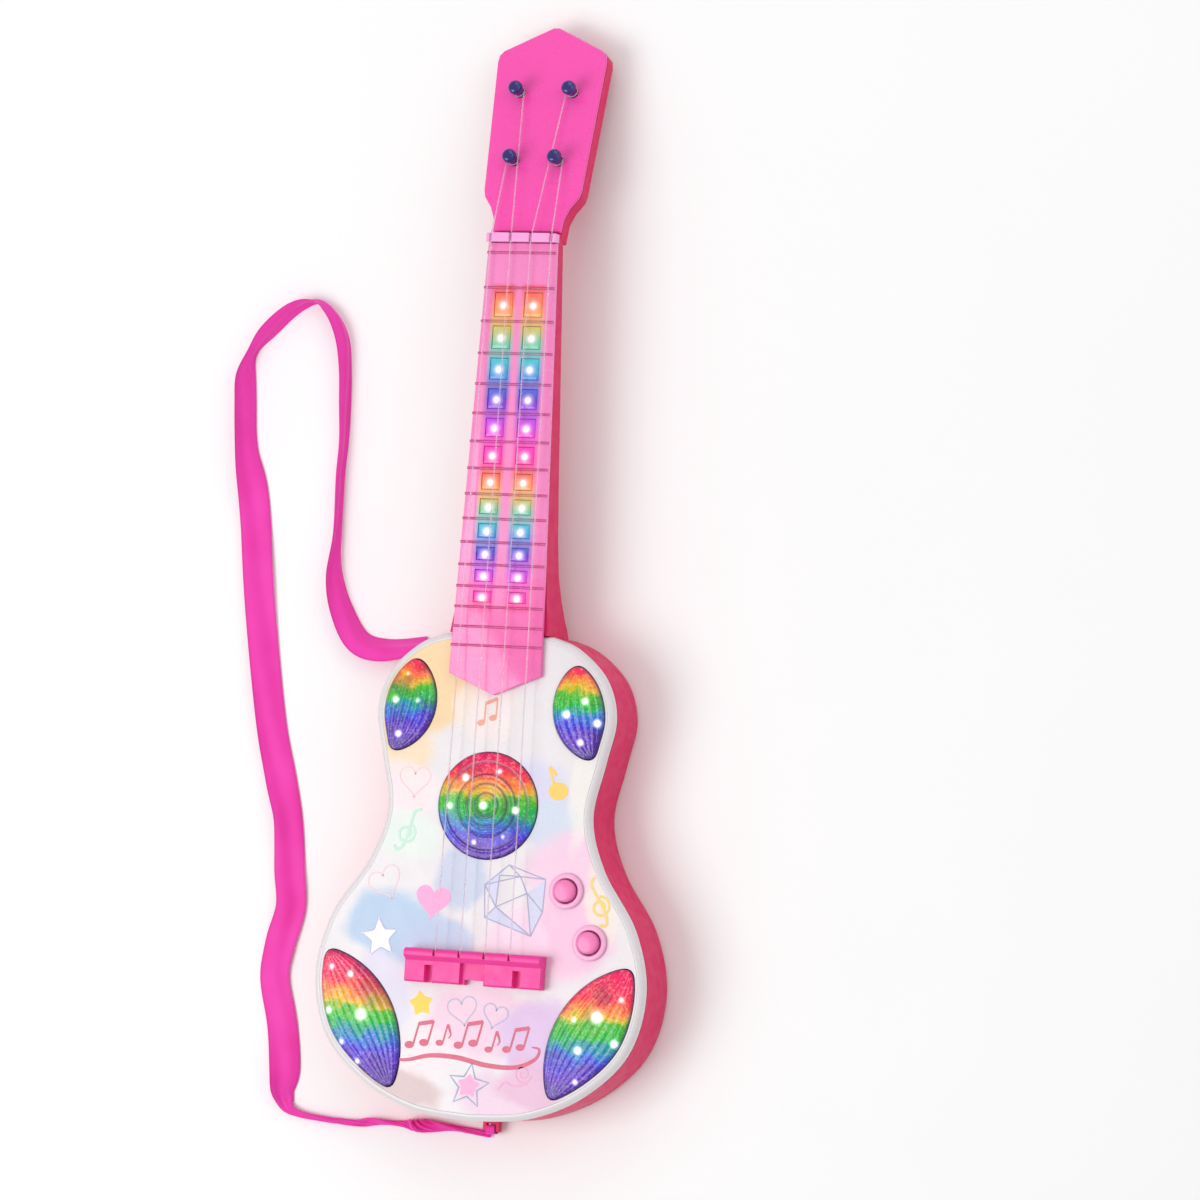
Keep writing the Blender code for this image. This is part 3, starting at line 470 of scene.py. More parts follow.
def film_material():
    """Glossy printed film: white, with soft pastel patches that melt into each other."""
    patches = [
        # centre, half widths, colour, strength
        ((-0.032, 0.060), (0.030, 0.027), "#f5d094", 1.0),
        ((-0.049, 0.028), (0.020, 0.017), "#f5d8aa", 0.9),
        ((-0.046, 0.005), (0.020, 0.015), "#f9e2e6", 0.8),
        ((-0.040, -0.016), (0.018, 0.014), "#e3efe6", 0.8),
        ((-0.004, 0.048), (0.018, 0.020), "#f7e7e0", 0.7),
        ((0.024, 0.006), (0.017, 0.022), "#d3d2ee", 0.9),
        ((0.034, -0.008), (0.014, 0.016), "#cbd8ea", 0.8),
        ((-0.012, -0.036), (0.016, 0.017), "#c0cbe6", 0.9),
        ((-0.046, -0.060), (0.027, 0.020), "#a9c6e4", 1.0),
        ((-0.022, -0.072), (0.022, 0.016), "#b4c6e6", 0.9),
        ((0.044, -0.028), (0.024, 0.021), "#f6c6e1", 0.9),
        ((0.046, -0.062), (0.026, 0.023), "#f6bfde", 1.0),
        ((0.020, -0.066), (0.016, 0.016), "#f6d3ea", 0.8),
        ((0.066, -0.040), (0.010, 0.028), "#f3ecd9", 0.7),
        ((-0.052, -0.096), (0.016, 0.024), "#dcd6ee", 0.8),
        ((0.004, -0.106), (0.034, 0.019), "#f2c6dd", 0.9),
        ((0.034, -0.116), (0.020, 0.026), "#dcb8e4", 1.0),
        ((-0.040, -0.141), (0.026, 0.013), "#d3b3b2", 0.9),
        ((0.018, -0.142), (0.028, 0.014), "#ecc8e0", 0.9),
        ((0.030, -0.134), (0.017, 0.013), "#e4accd", 0.8),
        ((-0.026, -0.122), (0.016, 0.012), "#f8e3e6", 0.7),
        ((0.047, 0.010), (0.008, 0.030), "#f4efe4", 0.6),
    ]
    finish = Finish("film", Coat_Weight=0.35, Coat_Roughness=0.07)
    wobble = finish.noise(34.0, 3.0, output="Color")
    wobble = finish.vector("MULTIPLY", finish.vector("SUBTRACT", wobble, (0.5, 0.5, 0.5)), (0.022, 0.022, 0.0))
    place = finish.vector("ADD", finish.place, wobble)
    colour = linear("#e9e3e6")
    for centre, half, code, strength in patches:
        offset = finish.vector("SUBTRACT", place, (*centre, FACE_Z))
        offset = finish.vector("MULTIPLY", offset, (1 / half[0], 1 / half[1], 0.0))
        distance = finish.vector("LENGTH", offset, (0, 0, 0))
        share = finish.span(distance, 0.72, 1.12, strength, 0.0)
        colour = finish.mix(share, colour, linear(code))
    colour = finish.mix(finish.noise(70.0, 4.0), colour, finish.mix(0.1, colour, linear("#c4b8ce")))
    colour = finish.mix(0.06, colour, linear("#8f8480"))
    finish.link("Base Color", colour)
    finish.gloss(90.0, 3.0, 0.24, 0.34)
    finish.bump(finish.noise(900.0, 2.0), 0.05)
    return finish.material


RAINBOW = [
    (0.00, "#48128f"), (0.21, "#5c1cb4"), (0.32, "#3d33cb"), (0.41, "#1470c2"), (0.48, "#0a9488"),
    (0.55, "#0fae30"), (0.65, "#4fb01a"), (0.72, "#dbb019"), (0.80, "#f0762a"), (0.88, "#ee3440"),
    (1.00, "#e8125c"),
]


def rainbow_material(name, low_y, high_y, foil=False):
    """Ribbed clear lens over rainbow foil: bands along Y, glitter cells with painted sparkle, dark rim, lamps
    shining through.
    """
    constants = {"Roughness": 0.2, "Coat_Weight": 0.4, "Coat_Roughness": 0.03, "Specular_IOR_Level": 0.3,
                 "Emission_Strength": 1.0}
    if foil:
        constants = {"Roughness": 0.22, "Metallic": 0.7}
    finish = Finish(name, **constants)
    wobble = finish.sum("MULTIPLY_ADD", finish.noise(150.0, 4.0), 0.30, -0.15)
    share = finish.span(finish.split(finish.place)[1], low_y, high_y, kind="LINEAR")
    stops = [(position, linear(code)) for position, code in RAINBOW]
    colour = finish.ramp(finish.sum("ADD", share, wobble), stops)
    cells = finish.node("TexVoronoi", {"Vector": finish.place, "Scale": 1150.0}).outputs["Color"]
    glitter = finish.split(cells)[0]
    # Painted sparkle: the brightest glitter cells are lightened and the dullest darkened.
    colour = finish.mix(finish.span(glitter, 0.6, 1.0, 0.0, 0.12), colour, linear("#e8fff4"))
    colour = finish.mix(finish.span(glitter, 0.4, 0.0, 0.0, 0.25), colour, linear("#2a1040"))
    depth = finish.span(finish.noise(60.0, 2.0), 0.52, 0.68, 0.0, 0.4)
    colour = finish.mix(depth, colour, linear("#26103c"))
    if foil:
        finish.link("Base Color", colour)
        finish.bump(glitter, 0.2)
        return finish.material
    rim = finish.attribute("rim")
    colour = finish.mix(finish.times(rim, 0.8), colour, linear("#351652"))
    glow = finish.attribute("glow")
    # Painted lamp light: the colour whitens over each lamp.
    finish.link("Base Color", finish.mix(finish.span(glow, 0.15, 0.9, 0.0, 0.9), colour, linear("#ffffff")))
    # Painted glow: the lens glows faintly in its own colour all over, and more strongly round each lamp.
    halo = finish.mix(finish.span(glow, 0.05, 0.75, 0.2, 1.0), linear("#000000"), colour)
    light = finish.mix(finish.span(glow, 0.35, 0.95), halo, linear("#fffafc"))
    finish.link("Emission Color", light)
    finish.bump(glitter, 0.12, 0.0003)
    return finish.material


def neck_light(finish, tone, strength):
    """The tone, tinted by the lamps under the neck: bands of colour in two groups, along two columns."""
    bands = [(0.00, "#ff3f9d"), (0.14, "#fb3fc4"), (0.27, "#c44be4"), (0.38, "#6a44d0"), (0.48, "#3f80dc"),
             (0.60, "#4cc4d2"), (0.70, "#7cc9a0"), (0.79, "#e0c060"), (0.88, "#ff9a5c"), (1.00, "#f4535e")]
    x, y, _ = finish.split(finish.place)
    frets = fret_positions()
    top, middle, bottom = (frets[i] for i in WINDOW_FRETS)
    upper = finish.span(y, middle, top, kind="LINEAR")
    lower = finish.span(y, bottom, middle, kind="LINEAR")
    share = finish.node("Mix", {0: finish.sum("GREATER_THAN", y, middle), 2: lower, 3: upper}).outputs[0]
    wobble = finish.sum("MULTIPLY_ADD", finish.noise(260.0, 2.0), 0.08, -0.04)
    colour = finish.ramp(finish.sum("ADD", share, wobble), [(p, linear(c)) for p, c in bands])
    column = finish.span(y, bottom, top, WINDOW_X[1], WINDOW_X[0], kind="LINEAR")
    away = finish.sum("ABSOLUTE", finish.sum("SUBTRACT", finish.sum("ABSOLUTE", x), column))
    near = finish.span(away, 0.0046, 0.0078, strength, 0.0)
    above_bottom = finish.span(y, bottom - 0.004, bottom)
    below_top = finish.span(y, top + 0.003, top)
    inside = finish.times(above_bottom, below_top)
    return finish.mix(finish.times(near, inside), tone, colour)


def window_material():
    """Frosted window lit from below: bands of colour along the neck, white over each lamp."""
    finish = Finish("lit_window", Coat_Weight=0.5, Coat_Roughness=0.1, Emission_Strength=0.45)
    colour = neck_light(finish, linear("#ff8fca"), 1.0)
    glow = finish.attribute("glow")
    colour = finish.mix(finish.span(glow, 0.05, 0.5, 0.0, 0.35), colour, linear("#ffd9ee"))
    bright = finish.mix(finish.span(glow, 0.35, 0.95), colour, linear("#fffdf2"))
    finish.link("Base Color", bright)
    finish.link("Emission Color", finish.mix(finish.span(glow, 0.1, 0.9, 0.2, 1.0), linear("#000000"), bright))
    finish.gloss(700.0, 2.0, 0.22, 0.38)
    finish.bump(finish.noise(1800.0, 2.0), 0.1)
    return finish.material


def tinted_plastic(name, code, strength, dark=0.0):
    """Pink plastic of the fretboard or its frets, tinted by the lamps below."""
    finish = Finish(name, Coat_Weight=0.5, Coat_Roughness=0.1)
    tone = finish.drift(code, 22.0, 3.0, 0.96, 1.04)
    deep = finish.span(finish.split(finish.place)[1], 0.135, 0.09, 0.0, 0.55)
    tone = neck_light(finish, finish.mix(deep, tone, linear("#fb4aa6")), strength)
    finish.link("Base Color", finish.mix(dark, tone, linear("#7a1046")))
    finish.gloss(160.0, 4.0, 0.2, 0.32)
    finish.bump(finish.noise(1400.0, 2.0), 0.1, 0.00003)
    return finish.material


def ribbon_material():
    """Woven polyester ribbon: fine cross ribs, a firmer edge, and a soft sheen."""
    finish = Finish("ribbon_weave", Sheen_Weight=0.25, Sheen_Roughness=0.4)
    across, along, _ = finish.split(finish.attribute("weave", "Vector"))
    ribs = finish.sum("SINE", finish.times(along, 2 * math.pi / RIB_PITCH))
    threads = finish.sum("SINE", finish.times(across, 2 * math.pi / THREAD_PITCH))
    cloth = finish.sum("MULTIPLY_ADD", finish.times(ribs, threads), 0.5, 0.5)
    tone = finish.mix(finish.noise(45.0, 4.0), linear("#f01fa6"), linear("#ff45c8"))
    tone = finish.mix(finish.times(cloth, 0.28), tone, linear("#c81f86"))
    edge = finish.span(finish.sum("ABSOLUTE", across), 0.0066, 0.0072)
    tone = finish.mix(finish.times(edge, 0.35), tone, linear("#d4238f"))
    finish.link("Base Color", tone)
    finish.link("Roughness", finish.span(cloth, 0.0, 1.0, 0.5, 0.7))
    height = finish.sum("MULTIPLY_ADD", edge, 0.6, cloth)
    finish.bump(height, 0.35, 0.00025)
    return finish.material


def metal_material(name, code, roughness=0.3):
    finish = Finish(name, Metallic=1.0)
    finish.link("Base Color", finish.drift(code, 300.0, 4.0, 0.85, 1.1))
    finish.gloss(900.0, 4.0, roughness - 0.08, roughness + 0.12)
    finish.bump(finish.noise(3000.0, 2.0), 0.1)
    return finish.material


def board_material():
    """Circuit board: green resist with copper tracks seen through it."""
    finish = Finish("circuit_board", Coat_Weight=0.4)
    x, y, _ = finish.split(finish.place)
    tracks = finish.sum("SINE", finish.times(finish.sum("ADD", x, y), 2600.0))
    lines = finish.span(tracks, 0.75, 0.9)
    patches = finish.span(finish.noise(160.0, 0.0), 0.5, 0.55)
    colour = finish.mix(finish.times(lines, patches), linear("#12632d"), linear("#3f8f45"))
    finish.link("Base Color", colour)
    finish.gloss(300.0, 2.0, 0.35, 0.5)
    finish.bump(lines, 0.2)
    return finish.material


def wrap_material():
    """Battery sleeve: two colours along the cell, under a glossy skin."""
    finish = Finish("battery_sleeve", Coat_Weight=0.6)
    band = finish.span(finish.split(finish.place)[0], 0.010, 0.011)
    colour = finish.mix(band, linear("#1d2a63"), linear("#c48a2c"))
    colour = finish.mix(finish.span(finish.noise(120.0, 3.0), 0.3, 0.8, 0.0, 0.2), colour, linear("#0a0a12"))
    finish.link("Base Color", colour)
    finish.gloss(400.0, 2.0, 0.25, 0.4)
    return finish.material


def ink(name, code):
    """Printed ink: a little uneven, and slightly glossier than the film."""
    finish = Finish(name, Coat_Weight=0.3)
    finish.link("Base Color", finish.drift(code, 330.0, 4.0, 0.93, 1.07))
    finish.gloss(500.0, 2.0, 0.26, 0.4)
    return finish.material


# Deeper pink than the head's face: partly the plastic's own tone, partly painted shade of the sides.
PINK_SHELL = plastic("pink_shell", "#dd1760", roughness=0.42, grain=0.03, Specular_IOR_Level=0.3)
# Greyed a little from white: painted shade for the rim's sloping side.
WHITE_SHELL = plastic("white_shell", "#dfd9dc", roughness=0.26, drift=0.03, Coat_Weight=0.25)
BRIGHT_PINK = plastic("bright_pink", "#fd50b3", roughness=0.30, drift=0.03, Coat_Weight=0.1)
BRIDGE_PINK = plastic("bridge_pink", "#f53c9f", roughness=0.30, drift=0.03, Specular_IOR_Level=0.4)
BUTTON_PINK = plastic("button_pink", "#f67dbb", roughness=0.26, drift=0.04, Coat_Weight=0.3)
BEZEL_PINK = plastic("bezel_pink", "#fbb4dc", roughness=0.26, drift=0.03, Coat_Weight=0.3)
BOARD_PINK = tinted_plastic("board_pink", "#fb8ac8", 0.85)
WINDOW = window_material()
NUT_PINK = plastic("nut_pink", "#ffa6e2", roughness=0.26, drift=0.04, Coat_Weight=0.4)
FRET_PINK = tinted_plastic("fret_pink", "#f35fb0", 0.8, dark=0.42)
NAVY = plastic("navy_plastic", "#15186f", roughness=0.22, drift=0.12, Coat_Weight=0.6)
NYLON = plastic("string_nylon", "#fff0f8", roughness=0.2, drift=0.02, Transmission_Weight=0.75, IOR=1.3)
BLACK = plastic("black_plastic", "#1d1d20", roughness=0.42, drift=0.15)
PAPER = plastic("cone_paper", "#2a2826", roughness=0.8, drift=0.2, grain=0.5)
STEEL = metal_material("steel", "#b9bac0")
BOARD = board_material()
SLEEVE = wrap_material()
RIBBON = ribbon_material()
FILM = film_material()


# ---------------------------------------------------------------- pieces

def add_body(bm, rings, closed=False):
    """One solid through rings of equal length. Its two ends are capped, or joined when it is closed."""
    rows = [[bm.verts.new(p) for p in ring] for ring in rings]
    count = len(rows[0])
    faces = []
    pairs = list(zip(rows, rows[1:]))
    if closed:
        pairs.append((rows[-1], rows[0]))
    else:
        faces.append(bm.faces.new(rows[0]))
        faces.append(bm.faces.new(rows[-1]))
    for low, high in pairs:
        for i in range(count):
            j = (i + 1) % count
            faces.append(bm.faces.new((low[i], low[j], high[j], high[i])))
    bmesh.ops.recalc_face_normals(bm, faces=faces)
    return rows


def add_skirt(bm, border, z):
    """A wall from a loop of vertices down to a height, closed below. Returns its new vertices."""
    foot = [bm.verts.new((v.co.x, v.co.y, z)) for v in border]
    for k in range(len(border)):
        after = (k + 1) % len(border)
        bm.faces.new((border[k], border[after], foot[after], foot[k]))
    bm.faces.new(foot)
    return foot


def make_object(name, bm, material, place=None, crease=35):
    mesh = bpy.data.meshes.new(name)
    bm.to_mesh(mesh)
    bm.free()
    mesh.shade_smooth()
    mesh.set_sharp_from_angle(angle=math.radians(crease))
    mesh.materials.append(material)
    obj = bpy.data.objects.new(name, mesh)
    bpy.context.scene.collection.objects.link(obj)
    obj.matrix_world = Matrix.Translation(ORIGIN) @ (place or Matrix.Identity(4))
    return obj


def solid(name, bodies, material, place=None, closed=False, crease=35):
    bm = bmesh.new()
    for rings in bodies:
        add_body(bm, rings, closed)
    return make_object(name, bm, material, place, crease)


def apply_modifiers(obj):
    """Puts the result of the modifiers in the object's own mesh."""
    bpy.context.view_layer.update()
    graph = bpy.context.evaluated_depsgraph_get()
    mesh = bpy.data.meshes.new_from_object(obj.evaluated_get(graph))
    obj.modifiers.clear()
    obj.data = mesh
    mesh.shade_smooth()
    mesh.set_sharp_from_angle(angle=math.radians(35))


def cut(obj, bodies, operation="DIFFERENCE"):
    """Cuts bodies away from the object, or adds them to it."""
    tool = solid("tool", bodies, STEEL)
    modifier = obj.modifiers.new("cut", "BOOLEAN")
    modifier.operation = operation
    modifier.object = tool
    modifier.use_self = True
    apply_modifiers(obj)
    bpy.data.objects.remove(tool)


def bevel(obj, width):
    modifier = obj.modifiers.new("bevel", "BEVEL")
    modifier.width = width
    modifier.segments = 2
    modifier.limit_method = "ANGLE"
    modifier.angle_limit = math.radians(40)
    apply_modifiers(obj)
    normals = obj.modifiers.new("normals", "WEIGHTED_NORMAL")
    normals.keep_sharp = True


def settle(obj, body, finish, *nodes):
    """The piece rides on a body and stands for CAD nodes. The finish argument is not used."""
    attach(obj, body)
    if nodes:
        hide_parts(*nodes)
    return obj


def refined(node, material, body, finish, width):
    """A copy of a CAD node with its edges rounded."""
    bm = bmesh.new()
    bm.from_mesh(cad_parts[node].data)
    bmesh.ops.remove_doubles(bm, verts=bm.verts, dist=2e-6)
    bmesh.ops.translate(bm, verts=bm.verts, vec=-ORIGIN)
    obj = make_object(f"{node}_shape", bm, material)
    bevel(obj, width)
    settle(obj, body, finish, node)


def set_values(obj, **rows):
    """Numbers for the points of a piece, which its material reads by name."""
    for name, values in rows.items():
        attribute = obj.data.attributes.new(name, "FLOAT", "POINT")
        attribute.data.foreach_set("value", values)


def set_weave(obj, values):
    """Where each point lies across and along the ribbon."""
    attribute = obj.data.attributes.new("weave", "FLOAT_VECTOR", "POINT")
    attribute.data.foreach_set("vector", values)


# ---------------------------------------------------------------- camera, light and floor

def make_camera():
    data = bpy.data.cameras.new("camera")
    data.lens = CAMERA_LENS
    data.sensor_width = CAMERA_SENSOR
    look = Vector(CAMERA_LOOK).normalized()
    right = look.cross(Vector(CAMERA_UP)).normalized()
    up = right.cross(look)
    camera = bpy.data.objects.new("camera", data)
    turn = Matrix((right, up, -look)).transposed().to_4x4()
    camera.matrix_world = Matrix.Translation(CAMERA_AT) @ turn
    bpy.context.scene.collection.objects.link(camera)
    bpy.context.scene.camera = camera


def make_lamp(name, location, size, power):
    data = bpy.data.lights.new(name, "AREA")
    data.size = size
    data.energy = power
    lamp = bpy.data.objects.new(name, data)
    lamp.location = location
    lamp.rotation_euler = (-Vector(location)).to_track_quat("-Z", "Y").to_euler()
    bpy.context.scene.collection.objects.link(lamp)


def make_studio():
    scene = bpy.context.scene
    scene.view_settings.view_transform = "Standard"
    world = bpy.data.worlds.new("studio")
    world.use_nodes = True
    background = world.node_tree.nodes["Background"].inputs
    background["Color"].default_value = (1.0, 1.0, 1.0, 1.0)
    background["Strength"].default_value = WORLD_STRENGTH
    scene.world = world
    for light in AREA_LIGHTS:
        make_lamp(*light)
    bm = bmesh.new()
    bmesh.ops.create_grid(bm, x_segments=8, y_segments=8, size=FLOOR_SIZE)
    finish = Finish("floor")
    finish.link("Base Color", finish.mix(finish.noise(3.0, 3.0), linear("#fafafa"), linear("#fdfdfd")))
    finish.gloss(20.0, 2.0, 0.6, 0.7)
    floor = make_object("floor", bm, finish.material)
    floor.location = (0.0, 0.0, FLOOR_Z)


# ---------------------------------------------------------------- strap

def ribbon_section(width, height, roll, gather, along):
    """Closed loop of (sideways, up, across) for the ribbon.

    It is flat where gather is 0 and a soft twisted fold where it is 1.
    """
    half = width / 2
    loop = []
    count = 13
    for top in (True, False):
        for k in range(count):
            s = -1 + 2 * k / (count - 1)
            if not top:
                s = -s
            edge = math.sqrt(max(1 - abs(s) ** 6, 0.0))
            flat_half = RIBBON_HALF_THICK * (0.35 + 0.65 * edge)
            arch = RIBBON_ARCH * (1 - s * s) * (0.5 + 0.5 * math.sin(along * 70.0))
            arch += RIBBON_RIPPLE * math.sin(s * 4 + along * 40)
            thick = flat_half
            if gather:
                ridge = 0.72 + 0.28 * math.cos(s * 9.0 + (1.6 if top else 0.0))
                full = height / 2 * math.sqrt(max(1 - s * s, 0.0)) * ridge
                thick = flat_half + (full - flat_half) * gather
                arch *= 1 - gather
            up = arch + (thick if top else -thick)
            loop.append((half * s, up, s * RIBBON_WIDTH / 2))
    cosine, sine = math.cos(roll), math.sin(roll)
    return [(x * cosine - z * sine, x * sine + z * cosine, s) for x, z, s in loop]


def ribbon_rolls(route):
    """Where the ribbon looks narrow it is rolled on to its edge; the gathered tail twists steadily."""
    raw = []
    for i, point in enumerate(route):
        lean = math.acos(min(point[2] / RIBBON_WIDTH, 1.0)) * 0.95
        raw.append(lean if i < RIBBON_TURN else math.pi - lean)
    rolls = []
    for i in range(len(raw)):
        near = raw[max(i - 3, 0):i + 4]
        rolls.append(sum(near) / len(near))
    turn = 0.0
    for i, point in enumerate(route):
        turn += 0.30 * clamp((point[3] - RIBBON_FLAT - 0.0002) / 0.0016)
        rolls[i] += turn
    return rolls


def make_strap():
    route = smooth(RIBBON_ROUTE, 6)
    bm = bmesh.new()
    rows = []
    weave = []
    travelled = 0.0
    rolls = ribbon_rolls(route)
    for i, point in enumerate(route):
        ahead = route[min(i + 1, len(route) - 1)]
        behind = route[max(i - 1, 0)]
        along = Vector((ahead[0] - behind[0], ahead[1] - behind[1])).normalized()
        side = Vector((-along.y, along.x, 0.0))
        if i:
            travelled += (Vector(point[:2]) - Vector(route[i - 1][:2])).length
        gather = clamp((point[3] - RIBBON_FLAT) / 0.0018)
        width = point[2] + (RIBBON_WIDTH - point[2]) * 0.3 * (1 - gather)
        loop = ribbon_section(width, point[3], rolls[i], gather, travelled)
        lowest = min(z for _, z, _ in loop)
        base = Vector((point[0], point[1], 0.0002 - lowest))
        rows.append([base + side * x + Vector((0, 0, z)) for x, z, _ in loop])
        for _, _, across in loop:
            weave += [across, travelled, 0.0]
    add_body(bm, rows)
    strap = make_object("strap", bm, RIBBON, crease=60)
    set_weave(strap, weave)
    settle(strap, "guitar", "ribbon", "strap_ribbon")
    loops = [make_loop("strap_end_upper", *LUG_UPPER), make_loop("strap_end_lower", *LUG_LOWER)]


def make_loop(name, x, y, turn):
    """The sewn end of the strap: a band round the outer bar of a lug."""
    place = lug_matrix(x, y, turn)
    rings = []
    outer = eased([Vector((0.0024, 0.0008)), Vector((0.0068, 0.0008)), Vector((0.0068, 0.0066)),
                   Vector((0.0024, 0.0066))], 0.0010)
    inner = inset(outer, 0.0006)
    for a, b in zip(outer, inner):
        corners = ((-LOOP_HALF, a), (LOOP_HALF, a), (LOOP_HALF, b), (-LOOP_HALF, b))
        rings.append([place @ Vector((across, p.x, p.y)) for across, p in corners])
    loop = solid(name, [rings], RIBBON, closed=True, crease=60)
    values = []
    for i in range(len(rings)):
        for across in (-LOOP_HALF, LOOP_HALF, LOOP_HALF, -LOOP_HALF):
            values += [across, 0.0007 * i, 0.0]
    set_weave(loop, values)
    return settle(loop, "guitar", "ribbon")


# ---------------------------------------------------------------- body

def petal_outline(name, clearance=0.0, count=48):
    spec, side = PETALS[name]
    outer, arc = petal_edges(spec, side, clearance, count)
    outline = outer + list(reversed(arc))[1:-1]
    return outline if side > 0 else list(reversed(outline))


def face_openings():
    outlines = [circle(HOLE_R, 96)] + [petal_outline(name) for name in PETALS]
    outlines += [circle(BUTTON_HOLE_R, 40, place) for place in BUTTONS.values()]
    return [prism(outline, *OPENING_Z) for outline in outlines]


def make_front():
    outline = body_outline()
    rings = stack(outline, [
        (WALL, PLATE_Z), (WALL, SEAM_Z + GAP), (0.0003, SEAM_Z + GAP), (0, SEAM_Z + 2 * GAP), (0, 0.0334),
        (0.00015, 0.0342), (0.0006, 0.0350), (0.0012, 0.0355), (0.0020, 0.03585), (0.0029, FACE_Z),
        (RIM_INSET, 0.0359), (RIM_INSET, RECESS_Z),
    ])
    shell = solid("front_shell", [rings], WHITE_SHELL)
    posts = [turned([(0.0035, 0.0083), (0.0035, PLATE_Z + 0.001)], 20, place) for place in BOSSES]
    cut(shell, posts, "UNION")
    cut(shell, [turned([(0.0017, 0.007), (0.0017, 0.018)], 16, place) for place in BOSSES] + face_openings())
    settle(shell, "guitar", "white_shell", "body_front_shell")
    film = solid("front_film", [prism(inset(outline, RIM_INSET + 0.0001), RECESS_Z + GAP, FACE_Z)], FILM)
    cut(film, face_openings())
    settle(film, "guitar", "printed_film", "front_face_film")


def lug(x, y, turn):
    """The base block of a strap lug, and the eye through it."""
    place = lug_matrix(x, y, turn)
    sizes = [(0.0041, 0.0031, 0.0020), (0.0045, 0.0035, 0.0026), (0.0045, 0.0035, 0.0049),
             (0.0041, 0.0031, 0.0055)]
    base = [level(rectangle(half_x, half_y, (0, 0.0020)), z) for half_x, half_y, z in sizes]
    eye = block((0, 0.0027, 0.00375), (0.0052, 0.0024, 0.006))
    return [[place @ p for p in ring] for ring in base], [[place @ p for p in ring] for ring in eye]


def door_outline(clearance):
    low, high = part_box("battery_door")
    x = high.x + clearance
    tab_y = high.y - ORIGIN.y + clearance
    y = tab_y - 0.0077
    bottom = low.y - ORIGIN.y - clearance
    tab_x = 0.005 + clearance
    points = [(-x, bottom), (x, bottom), (x, y), (tab_x, y), (tab_x, tab_y),
              (-tab_x, tab_y), (-tab_x, y), (-x, y)]
    return [Vector(p) for p in points]


def make_back():
    outline = body_outline()
    rings = stack(outline, [
        (0.0044, 0.0), (0.0031, 0.0002), (0.0020, 0.0006), (0.0010, 0.0014), (0.0003, 0.0026), (0, 0.0045),
        (0, SEAM_Z - GAP), (0.0003, SEAM_Z), (WALL, SEAM_Z), (WALL, 0.0045), (WALL + 0.002, WALL),
    ])
    shell = solid("back_shell", [rings], PINK_SHELL)
    upper_lug, upper_eye = lug(*LUG_UPPER)
    lower_lug, lower_eye = lug(*LUG_LOWER)
    added = [upper_lug, lower_lug]
    cuts = [upper_eye, lower_eye]
    for x, y in BOSSES:
        added.append(turned([(0.0045, 0.0019), (0.0045, 0.008)], 24, (x, y)))
        cuts.append(turned([(0.0031, -0.001), (0.0031, 0.004), (0.0017, 0.004), (0.0017, 0.009)], 24, (x, y)))
    added.append(block((0, -0.0738, 0.00445), (0.016, 0.0078, 0.0051)))
    cuts.append(turned([(0.0024, 0.001), (0.0024, 0.008)], 20, DOOR_SCREW))
    cuts.append(prism(door_outline(0.0004), -0.001, 0.0021))
    cuts.append(block((*SWITCH_AT, 0.001), (0.0096, 0.0048, 0.004)))
    for i in range(GRILLE_SLOTS):
        x = (i - (GRILLE_SLOTS - 1) / 2) * GRILLE_STEP
        cuts.append(prism(slot_outline(x, math.sqrt(GRILLE_R ** 2 - x ** 2), GRILLE_SLOT_R), -0.001, 0.003))
    neck_pocket = block((0, 0.084, 0.0225), (0.0312, 0.012, 0.0182))
    cuts.append(neck_pocket)
    cut(shell, added, "UNION")
    cut(shell, cuts)
    settle(shell, "guitar", "pink_shell", "body_back_shell")


def slot_outline(x, half_length, radius):
    """A slot along Y with round ends."""
    points = []
    for end, start in ((1, 0.0), (-1, math.pi)):
        for k in range(9):
            t = start + math.pi * k / 8
            y = end * (half_length - radius) + radius * math.sin(t)
            points.append(Vector((x + radius * math.cos(t), y)))
    return points


# ---------------------------------------------------------------- lenses

def lamp_glow(x, y, lamps, reach):
    """Brightness at a point from 0 to 1, from a soft round spot over each lamp."""
    total = 0.0
    for lamp_x, lamp_y, power in lamps:
        distance = math.hypot(x - lamp_x, y - lamp_y)
        total = max(total, math.exp(-(distance / (reach * power)) ** 1.6) * min(power, 1.0))
    return total


